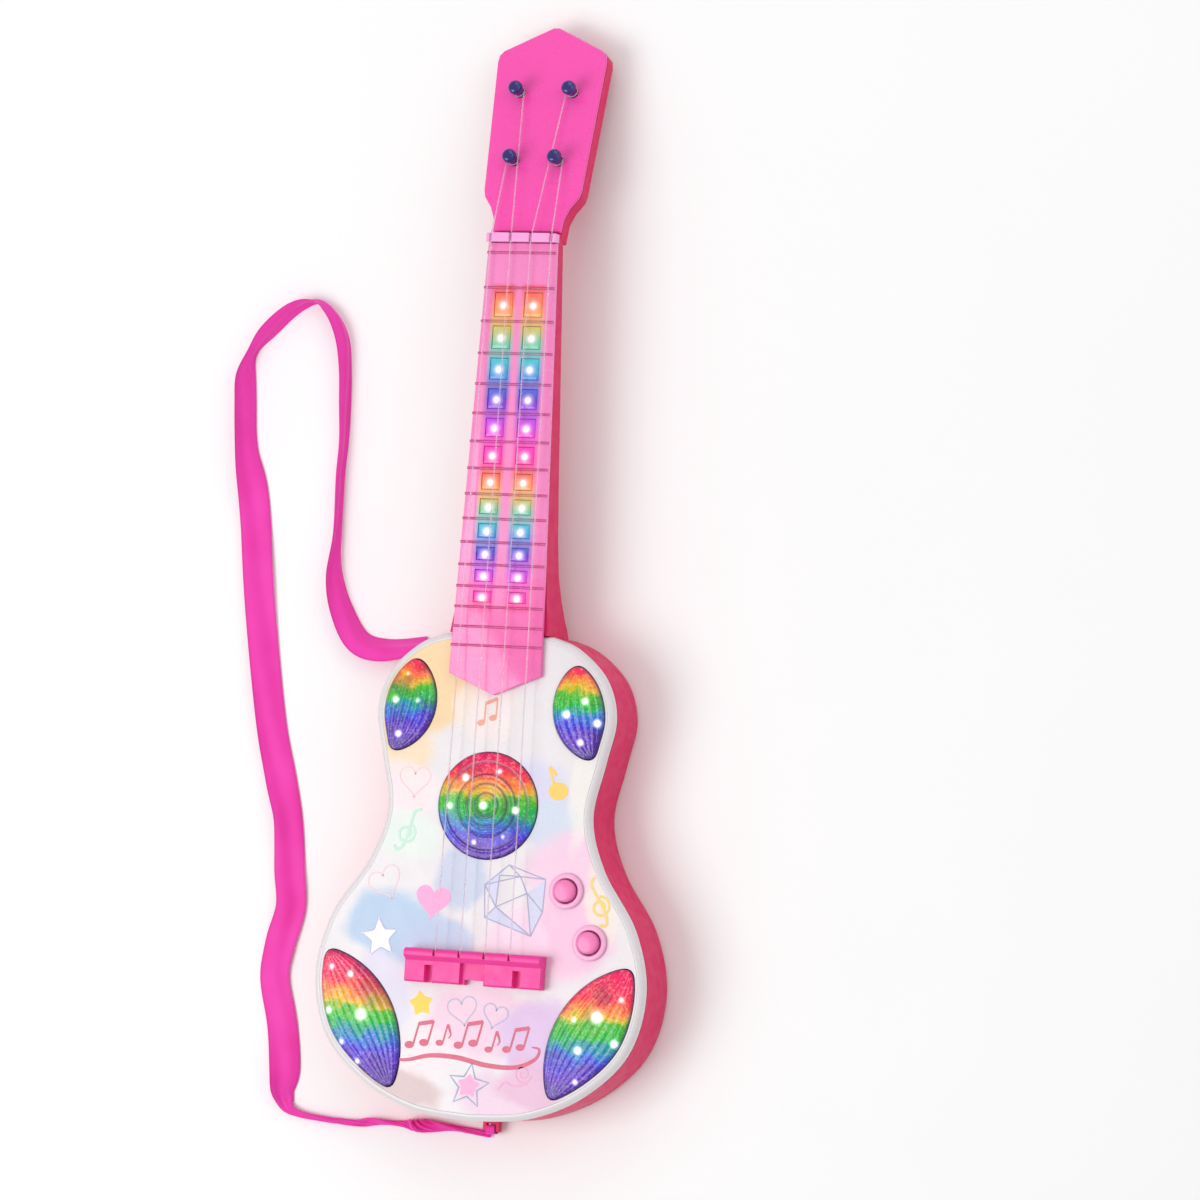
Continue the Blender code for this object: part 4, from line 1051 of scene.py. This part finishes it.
def make_petal_lens(name):
    spec, side = PETALS[name]
    count = 72
    lanes = 44
    outer, arc = petal_edges(spec, side, GAP, count)
    ys = [p.y for p in outer]
    bm = bmesh.new()
    grid = []
    glow = []
    rim = []
    tall = 9 if spec is LOWER_PETAL else 7
    for i in range(1, count):
        row = []
        length_wise = math.sin(math.pi * i / count)
        width = (arc[i] - outer[i]).length
        for j in range(lanes + 1):
            v = j / lanes
            p = outer[i].lerp(arc[i], v)
            edge = min(v, 1 - v) * width
            dome = math.sqrt(max(1 - (2 * v - 1) ** 4, 0.0)) * length_wise ** 0.5
            rib = 0.00042 * abs(math.sin(math.pi * v * tall)) * min(edge / 0.002, 1.0) * length_wise
            z = LENS_EDGE_Z + (LENS_RISE - 0.0004) * dome + rib
            row.append(bm.verts.new((p.x, p.y, z)))
            glow.append(lamp_glow(p.x, p.y, PETAL_LAMPS[name], GLOW_REACH["petal"]))
            rim.append(math.exp(-edge / 0.0007) if edge > 1e-6 else 1.0)
        grid.append(row)
    ends = []
    for p in (outer[0], outer[-1]):
        ends.append(bm.verts.new((p.x, p.y, LENS_EDGE_Z)))
        glow.append(0.0)
        rim.append(1.0)
    for low, high in zip(grid, grid[1:]):
        for j in range(lanes):
            bm.faces.new((low[j], low[j + 1], high[j + 1], high[j]))
    for j in range(lanes):
        bm.faces.new((ends[0], grid[0][j + 1], grid[0][j]))
        bm.faces.new((ends[1], grid[-1][j], grid[-1][j + 1]))
    border = [ends[0]] + [row[0] for row in grid] + [ends[1]] + [row[-1] for row in reversed(grid)]
    foot = add_skirt(bm, border, LENS_FOOT_Z)
    glow += [0.0] * len(foot)
    rim += [1.0] * len(foot)
    bmesh.ops.recalc_face_normals(bm, faces=bm.faces)
    reach = max(ys) - min(ys)
    top = max(ys) - 0.12 * reach if spec is LOWER_PETAL else max(ys) + 0.06 * reach
    material = rainbow_material(f"{name}_rainbow", min(ys), top)
    lens = make_object(f"{name}_lens", bm, material, crease=50)
    set_values(lens, glow=glow, rim=rim)
    settle(lens, "guitar", "clear_lens", f"{name}_petal_lens")


def hole_profile(r):
    """Height of the round lens: a flat outer band, then rings in steps around a small dome."""
    height = LENS_EDGE_Z + LENS_RISE * math.sqrt(max(1 - (r / LENS_R) ** 2, 0.0)) ** 1.2
    if r < 0.0152:
        height += 0.00045 * abs(math.sin(math.pi * r / 0.0023))
    elif 0.0215 < r < 0.0235:
        height += 0.0003 * math.sin(math.pi * (r - 0.0215) / 0.002)
    return height


def make_hole_lens():
    radii = [LENS_R - 0.00038 * i for i in range(69)]
    count = 120
    rings = [level(circle(LENS_R, count), LENS_FOOT_Z)]
    for r in radii:
        if r > 0.0001:
            rings.append(level(circle(r, count), hole_profile(r)))
    bm = bmesh.new()
    add_body(bm, rings)
    glow = []
    rim = []
    for v in bm.verts:
        on_top = v.co.z > LENS_EDGE_Z - 1e-5
        glow.append(lamp_glow(v.co.x, v.co.y, HOLE_LAMPS, GLOW_REACH["hole"]) if on_top else 0.0)
        r = math.hypot(v.co.x, v.co.y)
        bands = math.exp(-(LENS_R - r) / 0.0006)
        for ring in LENS_RINGS:
            bands += 0.75 * math.exp(-((r - ring) / 0.0007) ** 2)
        rim.append(min(bands, 1.0))
    material = rainbow_material("hole_rainbow", -0.031, 0.0215)
    lens = make_object("round_lens", bm, material, crease=50)
    set_values(lens, glow=glow, rim=rim)
    settle(lens, "guitar", "clear_lens", "sound_hole_lens")


# ---------------------------------------------------------------- fretboard

def add_window(bm, x, y, half, long_half, ledge, top):
    """The pillow-shaped top of one window and its wall. Returns how brightly each of its points glows."""
    steps = 16
    grid = []
    glow = []
    for i in range(steps + 1):
        row = []
        for j in range(steps + 1):
            a = 2 * j / steps - 1
            b = 2 * i / steps - 1
            drop = 0.0004 * max(abs(a) ** 12, abs(b) ** 12)
            row.append(bm.verts.new((x + half * a, y + long_half * b, top - drop)))
            spot = (half * a, long_half * b + 0.0005)
            glow.append(lamp_glow(*spot, [(0.0, 0.0, 1.0)], GLOW_REACH["window"]))
        grid.append(row)
    for below, above in zip(grid, grid[1:]):
        for j in range(steps):
            bm.faces.new((below[j], below[j + 1], above[j + 1], above[j]))
    border = grid[0][:-1] + [row[-1] for row in grid[:-1]] + list(reversed(grid[-1]))[:-1]
    border += [row[0] for row in reversed(grid[1:])]
    return glow + [0.0] * len(add_skirt(bm, border, ledge - 0.0002))


def make_windows():
    """Four strips: a bar under the fretboard, with a raised window through each of its openings."""
    first, middle, last = WINDOW_FRETS
    low, ledge, top = 0.0346, 0.0360, BOARD_TOP_Z + 0.00015
    half = WINDOW_WIDTH / 2 - GAP
    for name, start, stop in (("upper", first, middle), ("lower", middle, last)):
        for side_name, side in (("left", -1), ("right", 1)):
            cells = window_cells(start, stop, side)
            bm = bmesh.new()
            bar = [[Vector((x - half, y + d, low)), Vector((x + half, y + d, low)),
                    Vector((x + half, y + d, ledge)), Vector((x - half, y + d, ledge))]
                   for x, y, reach in reversed(cells) for d in (-reach, reach)]
            add_body(bm, bar)
            glow = [0.0] * (4 * len(bar))
            for x, y, reach in cells:
                glow += add_window(bm, x, y, half, reach - GAP, ledge, top)
            bmesh.ops.recalc_face_normals(bm, faces=bm.faces)
            strip = make_object(f"windows_{name}_{side_name}", bm, WINDOW, crease=40)
            set_values(strip, glow=glow)
            settle(strip, "guitar", "window", f"led_window_{name}_{side_name}")


def make_frets():
    """Half-round wires over the ribs of the fretboard."""
    bodies = []
    for y in fret_positions():
        w = board_half_width(y) + 0.00005
        ring = []
        for x in (-w, w):
            section = []
            for k in range(9):
                t = math.pi * k / 8
                z = BOARD_TOP_Z - 0.0001 + FRET_RISE * math.sin(t)
                section.append(Vector((x, y + FRET_HALF * math.cos(t), z)))
            ring.append(section)
        bodies.append(ring)
    settle(solid("fret_wires", bodies, FRET_PINK, crease=50), "guitar", "bright_pink")


def make_fretboard():
    """The plate with its pointed end, its edges rounded, and an opening for each window."""
    w_end, w_nut = BOARD_HALF_WIDTHS
    outline = [Vector((w_end, BOARD_END_Y)), Vector((w_nut, NUT_Y - GAP)), Vector((-w_nut, NUT_Y - GAP)),
               Vector((-w_end, BOARD_END_Y)), Vector((-0.0004, BOARD_TIP_Y)), Vector((0.0004, BOARD_TIP_Y))]
    rings = stack(outline, [(0, 0.0363), (0, BOARD_TOP_Z - 0.0005), (0.00015, BOARD_TOP_Z - 0.00015),
                            (0.0005, BOARD_TOP_Z)])
    board = solid("fretboard", [rings], BOARD_PINK)
    holes = []
    for side in (-1, 1):
        for x, y, half_length in window_cells(WINDOW_FRETS[0], WINDOW_FRETS[2], side):
            holes.append(block((x, y, 0.0376), (WINDOW_WIDTH, 2 * half_length, 0.006)))
    cut(board, holes)
    settle(board, "guitar", "pale_pink", "fretboard_cover")


# ---------------------------------------------------------------- bridge and strings

def eased(outline, distance):
    """The outline with each corner replaced by a small curve."""
    out = []
    count = len(outline)
    for i, p in enumerate(outline):
        before = p + (outline[i - 1] - p).normalized() * distance
        after = p + (outline[(i + 1) % count] - p).normalized() * distance
        out += [before, before * 0.25 + p * 0.5 + after * 0.25, after]
    return out


def make_bridge():
    bottom, top = BRIDGE_Y
    corners = [(bottom, 0.0363), (top, 0.0363), (top, 0.0438), (top - 0.0014, 0.0452), (top - 0.0036, 0.0452),
               (top - 0.0058, 0.0424), (bottom + 0.0008, 0.0424), (bottom, 0.0416)]
    section = eased([Vector(p) for p in corners], 0.0003)
    ease = 0.00025
    smaller = inset(section, ease)
    rings = []
    ends = ((-BRIDGE_HALF, smaller), (-BRIDGE_HALF + ease, section), (BRIDGE_HALF - ease, section),
            (BRIDGE_HALF, smaller))
    for x, outline in ends:
        rings.append([Vector((x, p.x, p.y)) for p in outline])
    bridge = solid("bridge_block", [rings], BRIDGE_PINK)
    cuts = [block((0, bottom + 0.005, 0.0422), (0.0136, 0.0112, 0.005)),
            block((0, bottom, 0.040), (0.0100, 0.005, 0.020))]
    for side in (-1, 1):
        cuts.append(block((side * BRIDGE_SLOT_X, bottom + 0.004, 0.0418), (0.0044, 0.0092, 0.007)))
    for x in STRINGS_X[0]:
        cuts.append(block((x, top, 0.0449), (0.0014, 0.0066, 0.0040)))
    cut(bridge, cuts)
    settle(bridge, "guitar", "bright_pink", "bridge")


def string_route(index):
    """From its notch in the bridge, over the nut, to its turn round the peg."""
    u, v = PEGS[index]
    side = (-1 if index in (0, 3) else 1) * (1 if u < 0 else -1)
    out = [Vector((STRINGS_X[0][index], -0.0743, 0.0436)), Vector((STRINGS_X[1][index], 0.2795, 0.0414))]
    steps = 40
    for i in range(steps + 5):
        angle = 2 * math.pi * i / steps
        x = side * 0.00285 * math.cos(angle)
        y = -0.00285 * math.sin(angle)
        out.append(head_matrix(u, v) @ Vector((x, y, 0.0021 - 0.00085 * i / steps)))
    return out


def tube(name, points, radius, material, count=12):
    """A round string through points, with its sections kept upright."""
    rings = []
    last = len(points) - 1
    for i, p in enumerate(points):
        along = (points[min(i + 1, last)] - points[max(i - 1, 0)]).normalized()
        side = along.cross(Vector((0, 0, 1))).normalized()
        up = side.cross(along)
        turns = [2 * math.pi * k / count for k in range(count)]
        rings.append([p + side * radius * math.cos(t) + up * radius * math.sin(t) for t in turns])
    return solid(name, [rings], material, crease=60)


def make_strings():
    for index in range(4):
        string = tube(f"guitar_string_{index + 1}", string_route(index), STRING_R, NYLON)
        settle(string, "guitar", "string_nylon", f"string_{index + 1}")


# ---------------------------------------------------------------- small turned parts

def cross_recess(radius, depth, low, place=(0.0, 0.0)):
    """Two crossed slots that a screwdriver fits, sunk upwards from a screw head's face."""
    x, y = place
    size = radius * 1.15
    return [block((x, y, low + depth / 2 - 0.0005), (size, radius * 0.26, depth + 0.001)),
            block((x, y, low + depth / 2 - 0.0005), (radius * 0.26, size, depth + 0.001))]


def make_screws():
    profile = [(0.0014, 0.0165), (0.0014, 0.0037), (0.0027, 0.0037), (0.0027, 0.0029), (0.0024, 0.0023),
               (0.0017, 0.0019)]
    for i, place in enumerate(BOSSES):
        screw = solid(f"case_screw_{i + 1}", [turned(profile, 24, place)], STEEL)
        cut(screw, cross_recess(0.0027, 0.0010, 0.0019, place))
        settle(screw, "guitar", "steel", f"housing_screw_{i + 1}")
    profile = [(0.0013, 0.0068), (0.0013, 0.0009), (0.0026, 0.0008), (0.0026, 0.0006), (0.0020, 0.0003)]
    screw = solid("door_screw", [turned(profile, 24, DOOR_SCREW)], STEEL)
    cut(screw, cross_recess(0.0026, 0.0005, 0.0003, DOOR_SCREW))
    settle(screw, "door_screw", "steel", "battery_door_screw")


def make_buttons():
    for name, place in BUTTONS.items():
        cap = [(0.0072, 0.0324), (0.0072, 0.0329), (0.0054, 0.0330), (0.0054, 0.0398), (0.0053, 0.0403),
               (0.0050, 0.0407), (0.0045, 0.04095), (0.0036, 0.0411), (0.0016, 0.0412)]
        button = solid(f"push_button_{name}", [turned(cap, 48, place)], BUTTON_PINK, crease=50)
        settle(button, f"{name}_button", "bright_pink", f"button_{name}")
        ring = [(0.0062, 0.0363), (0.00875, 0.0363), (0.00875, 0.0370), (0.0086, 0.0375), (0.0081, 0.0378),
                (0.0069, 0.0379), (0.0064, 0.0378), (0.0062, 0.0375)]
        bezel = solid(f"button_ring_{name}", [turned(ring, 56, place)], BEZEL_PINK, closed=True, crease=50)
        settle(bezel, "guitar", "bright_pink", f"button_bezel_{name}")


def make_pegs():
    post = [(0.0020, -0.0170), (0.0020, -0.0005), (0.0022, 0.0004), (0.0021, 0.0012), (0.0021, 0.0042),
            (0.0024, 0.0050), (0.0033, 0.0054), (0.0036, 0.0059), (0.0036, 0.0072), (0.0034, 0.0081),
            (0.0029, 0.0088), (0.0021, 0.00915), (0.0010, 0.0093)]
    for i, (u, v) in enumerate(PEGS):
        peg = solid(f"peg_post_{i + 1}", [turned(post, 32)], NAVY, head_matrix(u, v), crease=50)
        cut(peg, [block((0, 0, 0.0088), (0.0010, 0.0044, 0.0014))])
        settle(peg, f"peg_{i + 1}", "navy_plastic", f"tuning_peg_{i + 1}")
        wing = [Vector((p.x * 1.55, p.y * (0.60 + 0.12 * abs(p.x) / 0.0043))) for p in circle(0.0043, 36)]
        bore = circle(0.0023, 36)
        rings = [level(bore, -0.0117)]
        for factor, w in ((0.84, -0.0117), (0.94, -0.0120), (1.0, -0.0128), (1.0, -0.0164), (0.94, -0.0172),
                          (0.84, -0.0175)):
            rings.append(level([p * factor for p in wing], w))
        rings.append(level(bore, -0.0175))
        knob = solid(f"peg_wing_{i + 1}", [rings], NAVY, head_matrix(u, v), closed=True, crease=50)
        settle(knob, f"peg_{i + 1}", "navy_plastic", f"peg_knob_{i + 1}")


def make_door():
    """Battery door: a panel with eased edges, a sunk screw seat, grip grooves and an arrow."""
    low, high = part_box("battery_door")
    outline = door_outline(0.0)
    rings = stack(outline, [(0.0004, low.z), (0.0001, low.z + 0.0002), (0, low.z + 0.0005), (0, high.z)])
    door = solid("door_panel", [rings], PINK_SHELL)
    x, y = DOOR_SCREW
    seat = turned([(0.0030, -0.001), (0.0030, 0.0011), (0.0018, 0.0011), (0.0018, 0.003)], 32, (x, y))
    grooves = [block((0, y - 0.0110 - 0.0022 * i, 0.0), (0.020, 0.0011, 0.0012)) for i in range(5)]
    arrow = prism([Vector((-0.003, y - 0.0265)), Vector((0.003, y - 0.0265)), Vector((0.0, y - 0.0225))],
                  -0.001, 0.0006)
    cut(door, [seat, arrow] + grooves)
    settle(door, "door", "pink_shell", "battery_door")


# ---------------------------------------------------------------- printed shapes

def add_plate(bm, outline, rise=0.00008):
    """A thin raised area of ink."""
    area = sum(a.x * b.y - b.x * a.y for a, b in zip(outline, outline[1:] + outline[:1]))
    ordered = outline if area > 0 else list(reversed(outline))
    add_body(bm, prism(ordered, INK_Z, INK_Z + 0.00003 + rise))


def add_stroke(bm, points, widths, closed=False):
    """A raised line of ink through points, with a width for each point or one for all.

    Each new line on the same shape is a little thicker, so that lines that cross don't share a surface.
    """
    rise = 0.00010 + 0.0000002 * len(bm.verts)
    points = [Vector(p) for p in points]
    count = len(points)
    if not hasattr(widths, "__len__"):
        widths = [widths] * count
    rings = []
    for i, p in enumerate(points):
        if closed:
            ahead, behind = points[(i + 1) % count], points[i - 1]
        else:
            ahead, behind = points[min(i + 1, count - 1)], points[max(i - 1, 0)]
        along = (ahead - behind).normalized()
        side = Vector((-along.y, along.x)) * widths[i] / 2
        left, right = p - side, p + side
        rings.append([Vector((*left, INK_Z)), Vector((*right, INK_Z)),
                      Vector((*right, INK_Z + 0.00003 + rise)), Vector((*left, INK_Z + 0.00003 + rise))])
    add_body(bm, rings, closed)


def placed(points, centre, size, turn=0.0):
    c, s = math.cos(math.radians(turn)), math.sin(math.radians(turn))
    return [Vector((centre[0] + size * (x * c - y * s), centre[1] + size * (x * s + y * c))) for x, y in points]


def heart(centre, size, turn=0.0):
    points = []
    for k in range(40):
        t = 2 * math.pi * k / 40
        x = 16 * math.sin(t) ** 3
        y = 13 * math.cos(t) - 5 * math.cos(2 * t) - 2 * math.cos(3 * t) - math.cos(4 * t)
        points.append((x / 32, y / 32))
    return placed(points, centre, size, turn)


def star(centre, size, turn=0.0, inner=0.46):
    points = []
    for k in range(10):
        t = math.pi / 2 + math.pi * k / 5
        r = 0.5 if k % 2 == 0 else 0.5 * inner
        points.append((r * math.cos(t), r * math.sin(t)))
    return placed(points, centre, size, turn)


def blunt(outline):
    """The outline with each corner cut back a little."""
    out = []
    count = len(outline)
    for i, p in enumerate(outline):
        out.append(p.lerp(outline[i - 1], 0.16))
        out.append(p.lerp(outline[(i + 1) % count], 0.16))
    return out


def add_note(bm, centre, size, turn=0.0, beamed=False):
    """A quaver, or two joined by a beam."""
    def lean(x, y):
        return placed([(x, y)], (0, 0), size, turn)[0]

    heads = [(0.0, 0.0), (0.62, 0.10)] if beamed else [(0.0, 0.0)]
    feet = []
    for x, y in heads:
        oval = [(x + 0.20 * math.cos(t), y + 0.145 * math.sin(t)) for t in
                [2 * math.pi * k / 20 for k in range(20)]]
        add_plate(bm, placed(oval, centre, size, turn + 14))
        foot = placed([(x + 0.17, y + 0.04)], centre, size, turn + 14)[0]
        feet.append(foot)
        top = foot + lean(0.02, 0.85)
        add_stroke(bm, [foot, top], 0.075 * size)
        if not beamed:
            flag = [top, top + lean(0.16, -0.22), top + lean(0.27, -0.42), top + lean(0.20, -0.62)]
            add_stroke(bm, smooth(flag, 4), [0.13 * size * (1 - 0.06 * k) for k in range(13)])
    if beamed:
        add_stroke(bm, [foot + lean(0.02, 0.82) for foot in feet], 0.16 * size)


def add_clef(bm, centre, size, turn=0.0):
    """A plain curl with a stem, like a clef."""
    curl = []
    for k in range(34):
        t = -0.6 + k * 0.25
        r = 0.10 + 0.0047 * k
        curl.append((r * math.cos(t), r * math.sin(t) - 0.10))
    stem = [(0.05, 0.62), (-0.07, 0.48), (-0.03, 0.25), (0.05, -0.1), (0.08, -0.42), (0.0, -0.56),
            (-0.12, -0.5)]
    add_stroke(bm, placed(curl, centre, size, turn), 0.065 * size)
    add_stroke(bm, smooth(placed(stem, centre, size, turn), 5), 0.07 * size)


def print_shape(name, code, draw):
    bm = bmesh.new()
    draw(bm)
    piece = make_object(name, bm, ink(f"{name}_ink", code), crease=60)
    settle(piece, "guitar", "printed_film")


GEM_CORNERS = {
    "a": (0.0010, -0.0385), "b": (0.0132, -0.0282), "c": (0.0328, -0.0342), "d": (0.0322, -0.0500),
    "e": (0.0268, -0.0622), "f": (0.0020, -0.0545), "g": (0.0075, -0.0490), "h": (0.0195, -0.0335),
    "i": (0.0085, -0.0335), "j": (0.0235, -0.0415),
}


def gem_lines(bm):
    for line in ("abcdefa", "agf", "ahc", "gige", "bh", "hjd", "je", "gj", "hi", "ga"):
        for p, q in zip(line, line[1:]):
            add_stroke(bm, [GEM_CORNERS[p], GEM_CORNERS[q]], 0.00055)


def gem_facets(bm):
    for facet in ("jcde", "abig", "fge"):
        add_plate(bm, [Vector(GEM_CORNERS[corner]) for corner in facet], 0.00004)


def flourish(bm):
    """A row of slanted notes over a long swash, where the real toy carries its wording."""
    swash = [(-0.0415, -0.1215), (-0.0390, -0.1262), (-0.0330, -0.1262), (-0.0220, -0.1235), (-0.0080, -0.1235),
             (0.0080, -0.1262), (0.0230, -0.1262), (0.0330, -0.1218), (0.0352, -0.1168), (0.0312, -0.1158)]
    run = smooth(swash, 8)
    last = len(run) - 1
    widths = [0.0006 + 0.0018 * math.sin(math.pi * i / last) for i in range(last + 1)]
    add_stroke(bm, run, widths)
    for x, y, size, beamed in ((-0.0335, -0.1190, 0.0125, True), (-0.0175, -0.1170, 0.0105, False),
                               (-0.0075, -0.1175, 0.0125, True), (0.0085, -0.1185, 0.0105, False),
                               (0.0180, -0.1178, 0.0115, True)):
        add_note(bm, (x, y), size, -12, beamed)


def swirl(bm):
    curl = []
    for k in range(44):
        t = 0.4 + k * 0.28
        r = 0.0004 + 0.00010 * k
        curl.append((0.0275 + r * math.cos(t), -0.1290 + r * math.sin(t)))
    add_stroke(bm, curl, 0.0006)
    wave = [(0.0150, -0.1372), (0.0185, -0.1335), (0.0225, -0.1352), (0.0300, -0.1340)]
    add_stroke(bm, smooth(wave, 6), 0.0005)


def make_print():
    outlines = {
        "print_heart_line": ("#f0cdd4", lambda bm: (
            add_stroke(bm, heart((-0.0397, 0.0108), 0.0165), 0.0006, closed=True),
            add_stroke(bm, heart((-0.0520, -0.0400), 0.0175, 28), 0.0006, closed=True))),
        "print_heart": ("#ff9ed2", lambda bm: add_plate(bm, heart((-0.0259, -0.0477), 0.0185, -4))),
        "print_star_fill": ("#fdf2f4", lambda bm: add_plate(bm, star((-0.0529, -0.0676), 0.0200, 8))),
        "print_star_line": ("#b9b3d6", lambda bm: add_stroke(
            bm, blunt(star((-0.0529, -0.0676), 0.0205, 8)), 0.0006, closed=True)),
        "print_curl": ("#bfe6d2", lambda bm: add_clef(bm, (-0.0417, -0.0140), 0.0200, -28)),
        "print_notes_orange": ("#ec9a84", lambda bm: add_note(bm, (-0.0065, 0.0405), 0.0105, 0, True)),
        "print_note_yellow": ("#fbc94c", lambda bm: (
            add_plate(bm, [Vector((0.0365 + 0.0052 * math.cos(t), 0.0090 + 0.0044 * math.sin(t)))
                           for t in [2 * math.pi * k / 28 for k in range(28)]]),
            add_stroke(bm, [(0.0345, 0.0105), (0.0310, 0.0205)], 0.0012),
            add_stroke(bm, smooth([(0.0310, 0.0205), (0.0335, 0.0185), (0.0350, 0.0165)], 4), 0.0016))),
        "print_curl_yellow": ("#efcf6c", lambda bm: add_clef(bm, (0.0615, -0.0440), 0.0205, 20)),
        "print_star_yellow": ("#ffd023", lambda bm: add_plate(
            bm, blunt(star((-0.0286, -0.0986), 0.0135, 10, 0.6)))),
        "print_star_pink": ("#f7a3cf", lambda bm: add_plate(
            bm, blunt(star((-0.0008, -0.1369), 0.0125, -6, 0.62)))),
        "print_star_edge": ("#9d9cc0", lambda bm: add_stroke(
            bm, star((-0.0008, -0.1369), 0.0220, -6), 0.0010, closed=True)),
        "print_gem_facets": ("#cfd0ea", gem_facets),
        "print_gem_lines": ("#a79fc6", gem_lines),
        "print_flourish": ("#d3456e", flourish),
        "print_swirl": ("#f09cc6", swirl),
        "print_bubbles": ("#b7b2d2", lambda bm: (
            add_stroke(bm, heart((-0.0065, -0.1000), 0.0155, 12), 0.0006, closed=True),
            add_stroke(bm, heart((0.0110, -0.1015), 0.0130, -12), 0.0006, closed=True))),
    }
    for name, (code, draw) in outlines.items():
        print_shape(name, code, draw)


# ---------------------------------------------------------------- pieces that keep their CAD shape

def finish_node(node, material):
    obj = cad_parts[node]
    obj.data.materials.clear()
    obj.data.materials.append(material)


def finish_nodes():
    for i in range(3):
        finish_node(f"battery_{i + 1}", SLEEVE)
    for node in ("fretboard_lamp_board", "lamp_board_upper", "lamp_board_lower", "main_board"):
        finish_node(node, BOARD)
    for node in ("tact_switch_upper", "tact_switch_lower", "battery_box", "power_switch"):
        finish_node(node, BLACK)
    finish_node("speaker_frame", STEEL)
    finish_node("speaker_cone", PAPER)
    foil = rainbow_material("foil", -0.26, -0.04, foil=True)
    for node in ["sound_hole_foil"] + [f"{name}_petal_foil" for name in PETALS]:
        finish_node(node, foil)


# ---------------------------------------------------------------- the guitar

make_camera()
make_studio()
make_strap()
make_back()
make_front()
for petal in PETALS:
    make_petal_lens(petal)
make_hole_lens()
refined("neck_shell", PINK_SHELL, "guitar", "pink_shell", 0.0005)
refined("headstock_cover", BRIGHT_PINK, "guitar", "bright_pink", 0.0004)
make_fretboard()
refined("nut", NUT_PINK, "guitar", "pale_pink", 0.00025)
make_bridge()
make_strings()
refined("power_switch_knob", BLACK, "switch_slider", "black_plastic", 0.0003)
make_windows()
make_frets()
make_screws()
make_buttons()
make_pegs()
make_door()
make_print()
finish_nodes()
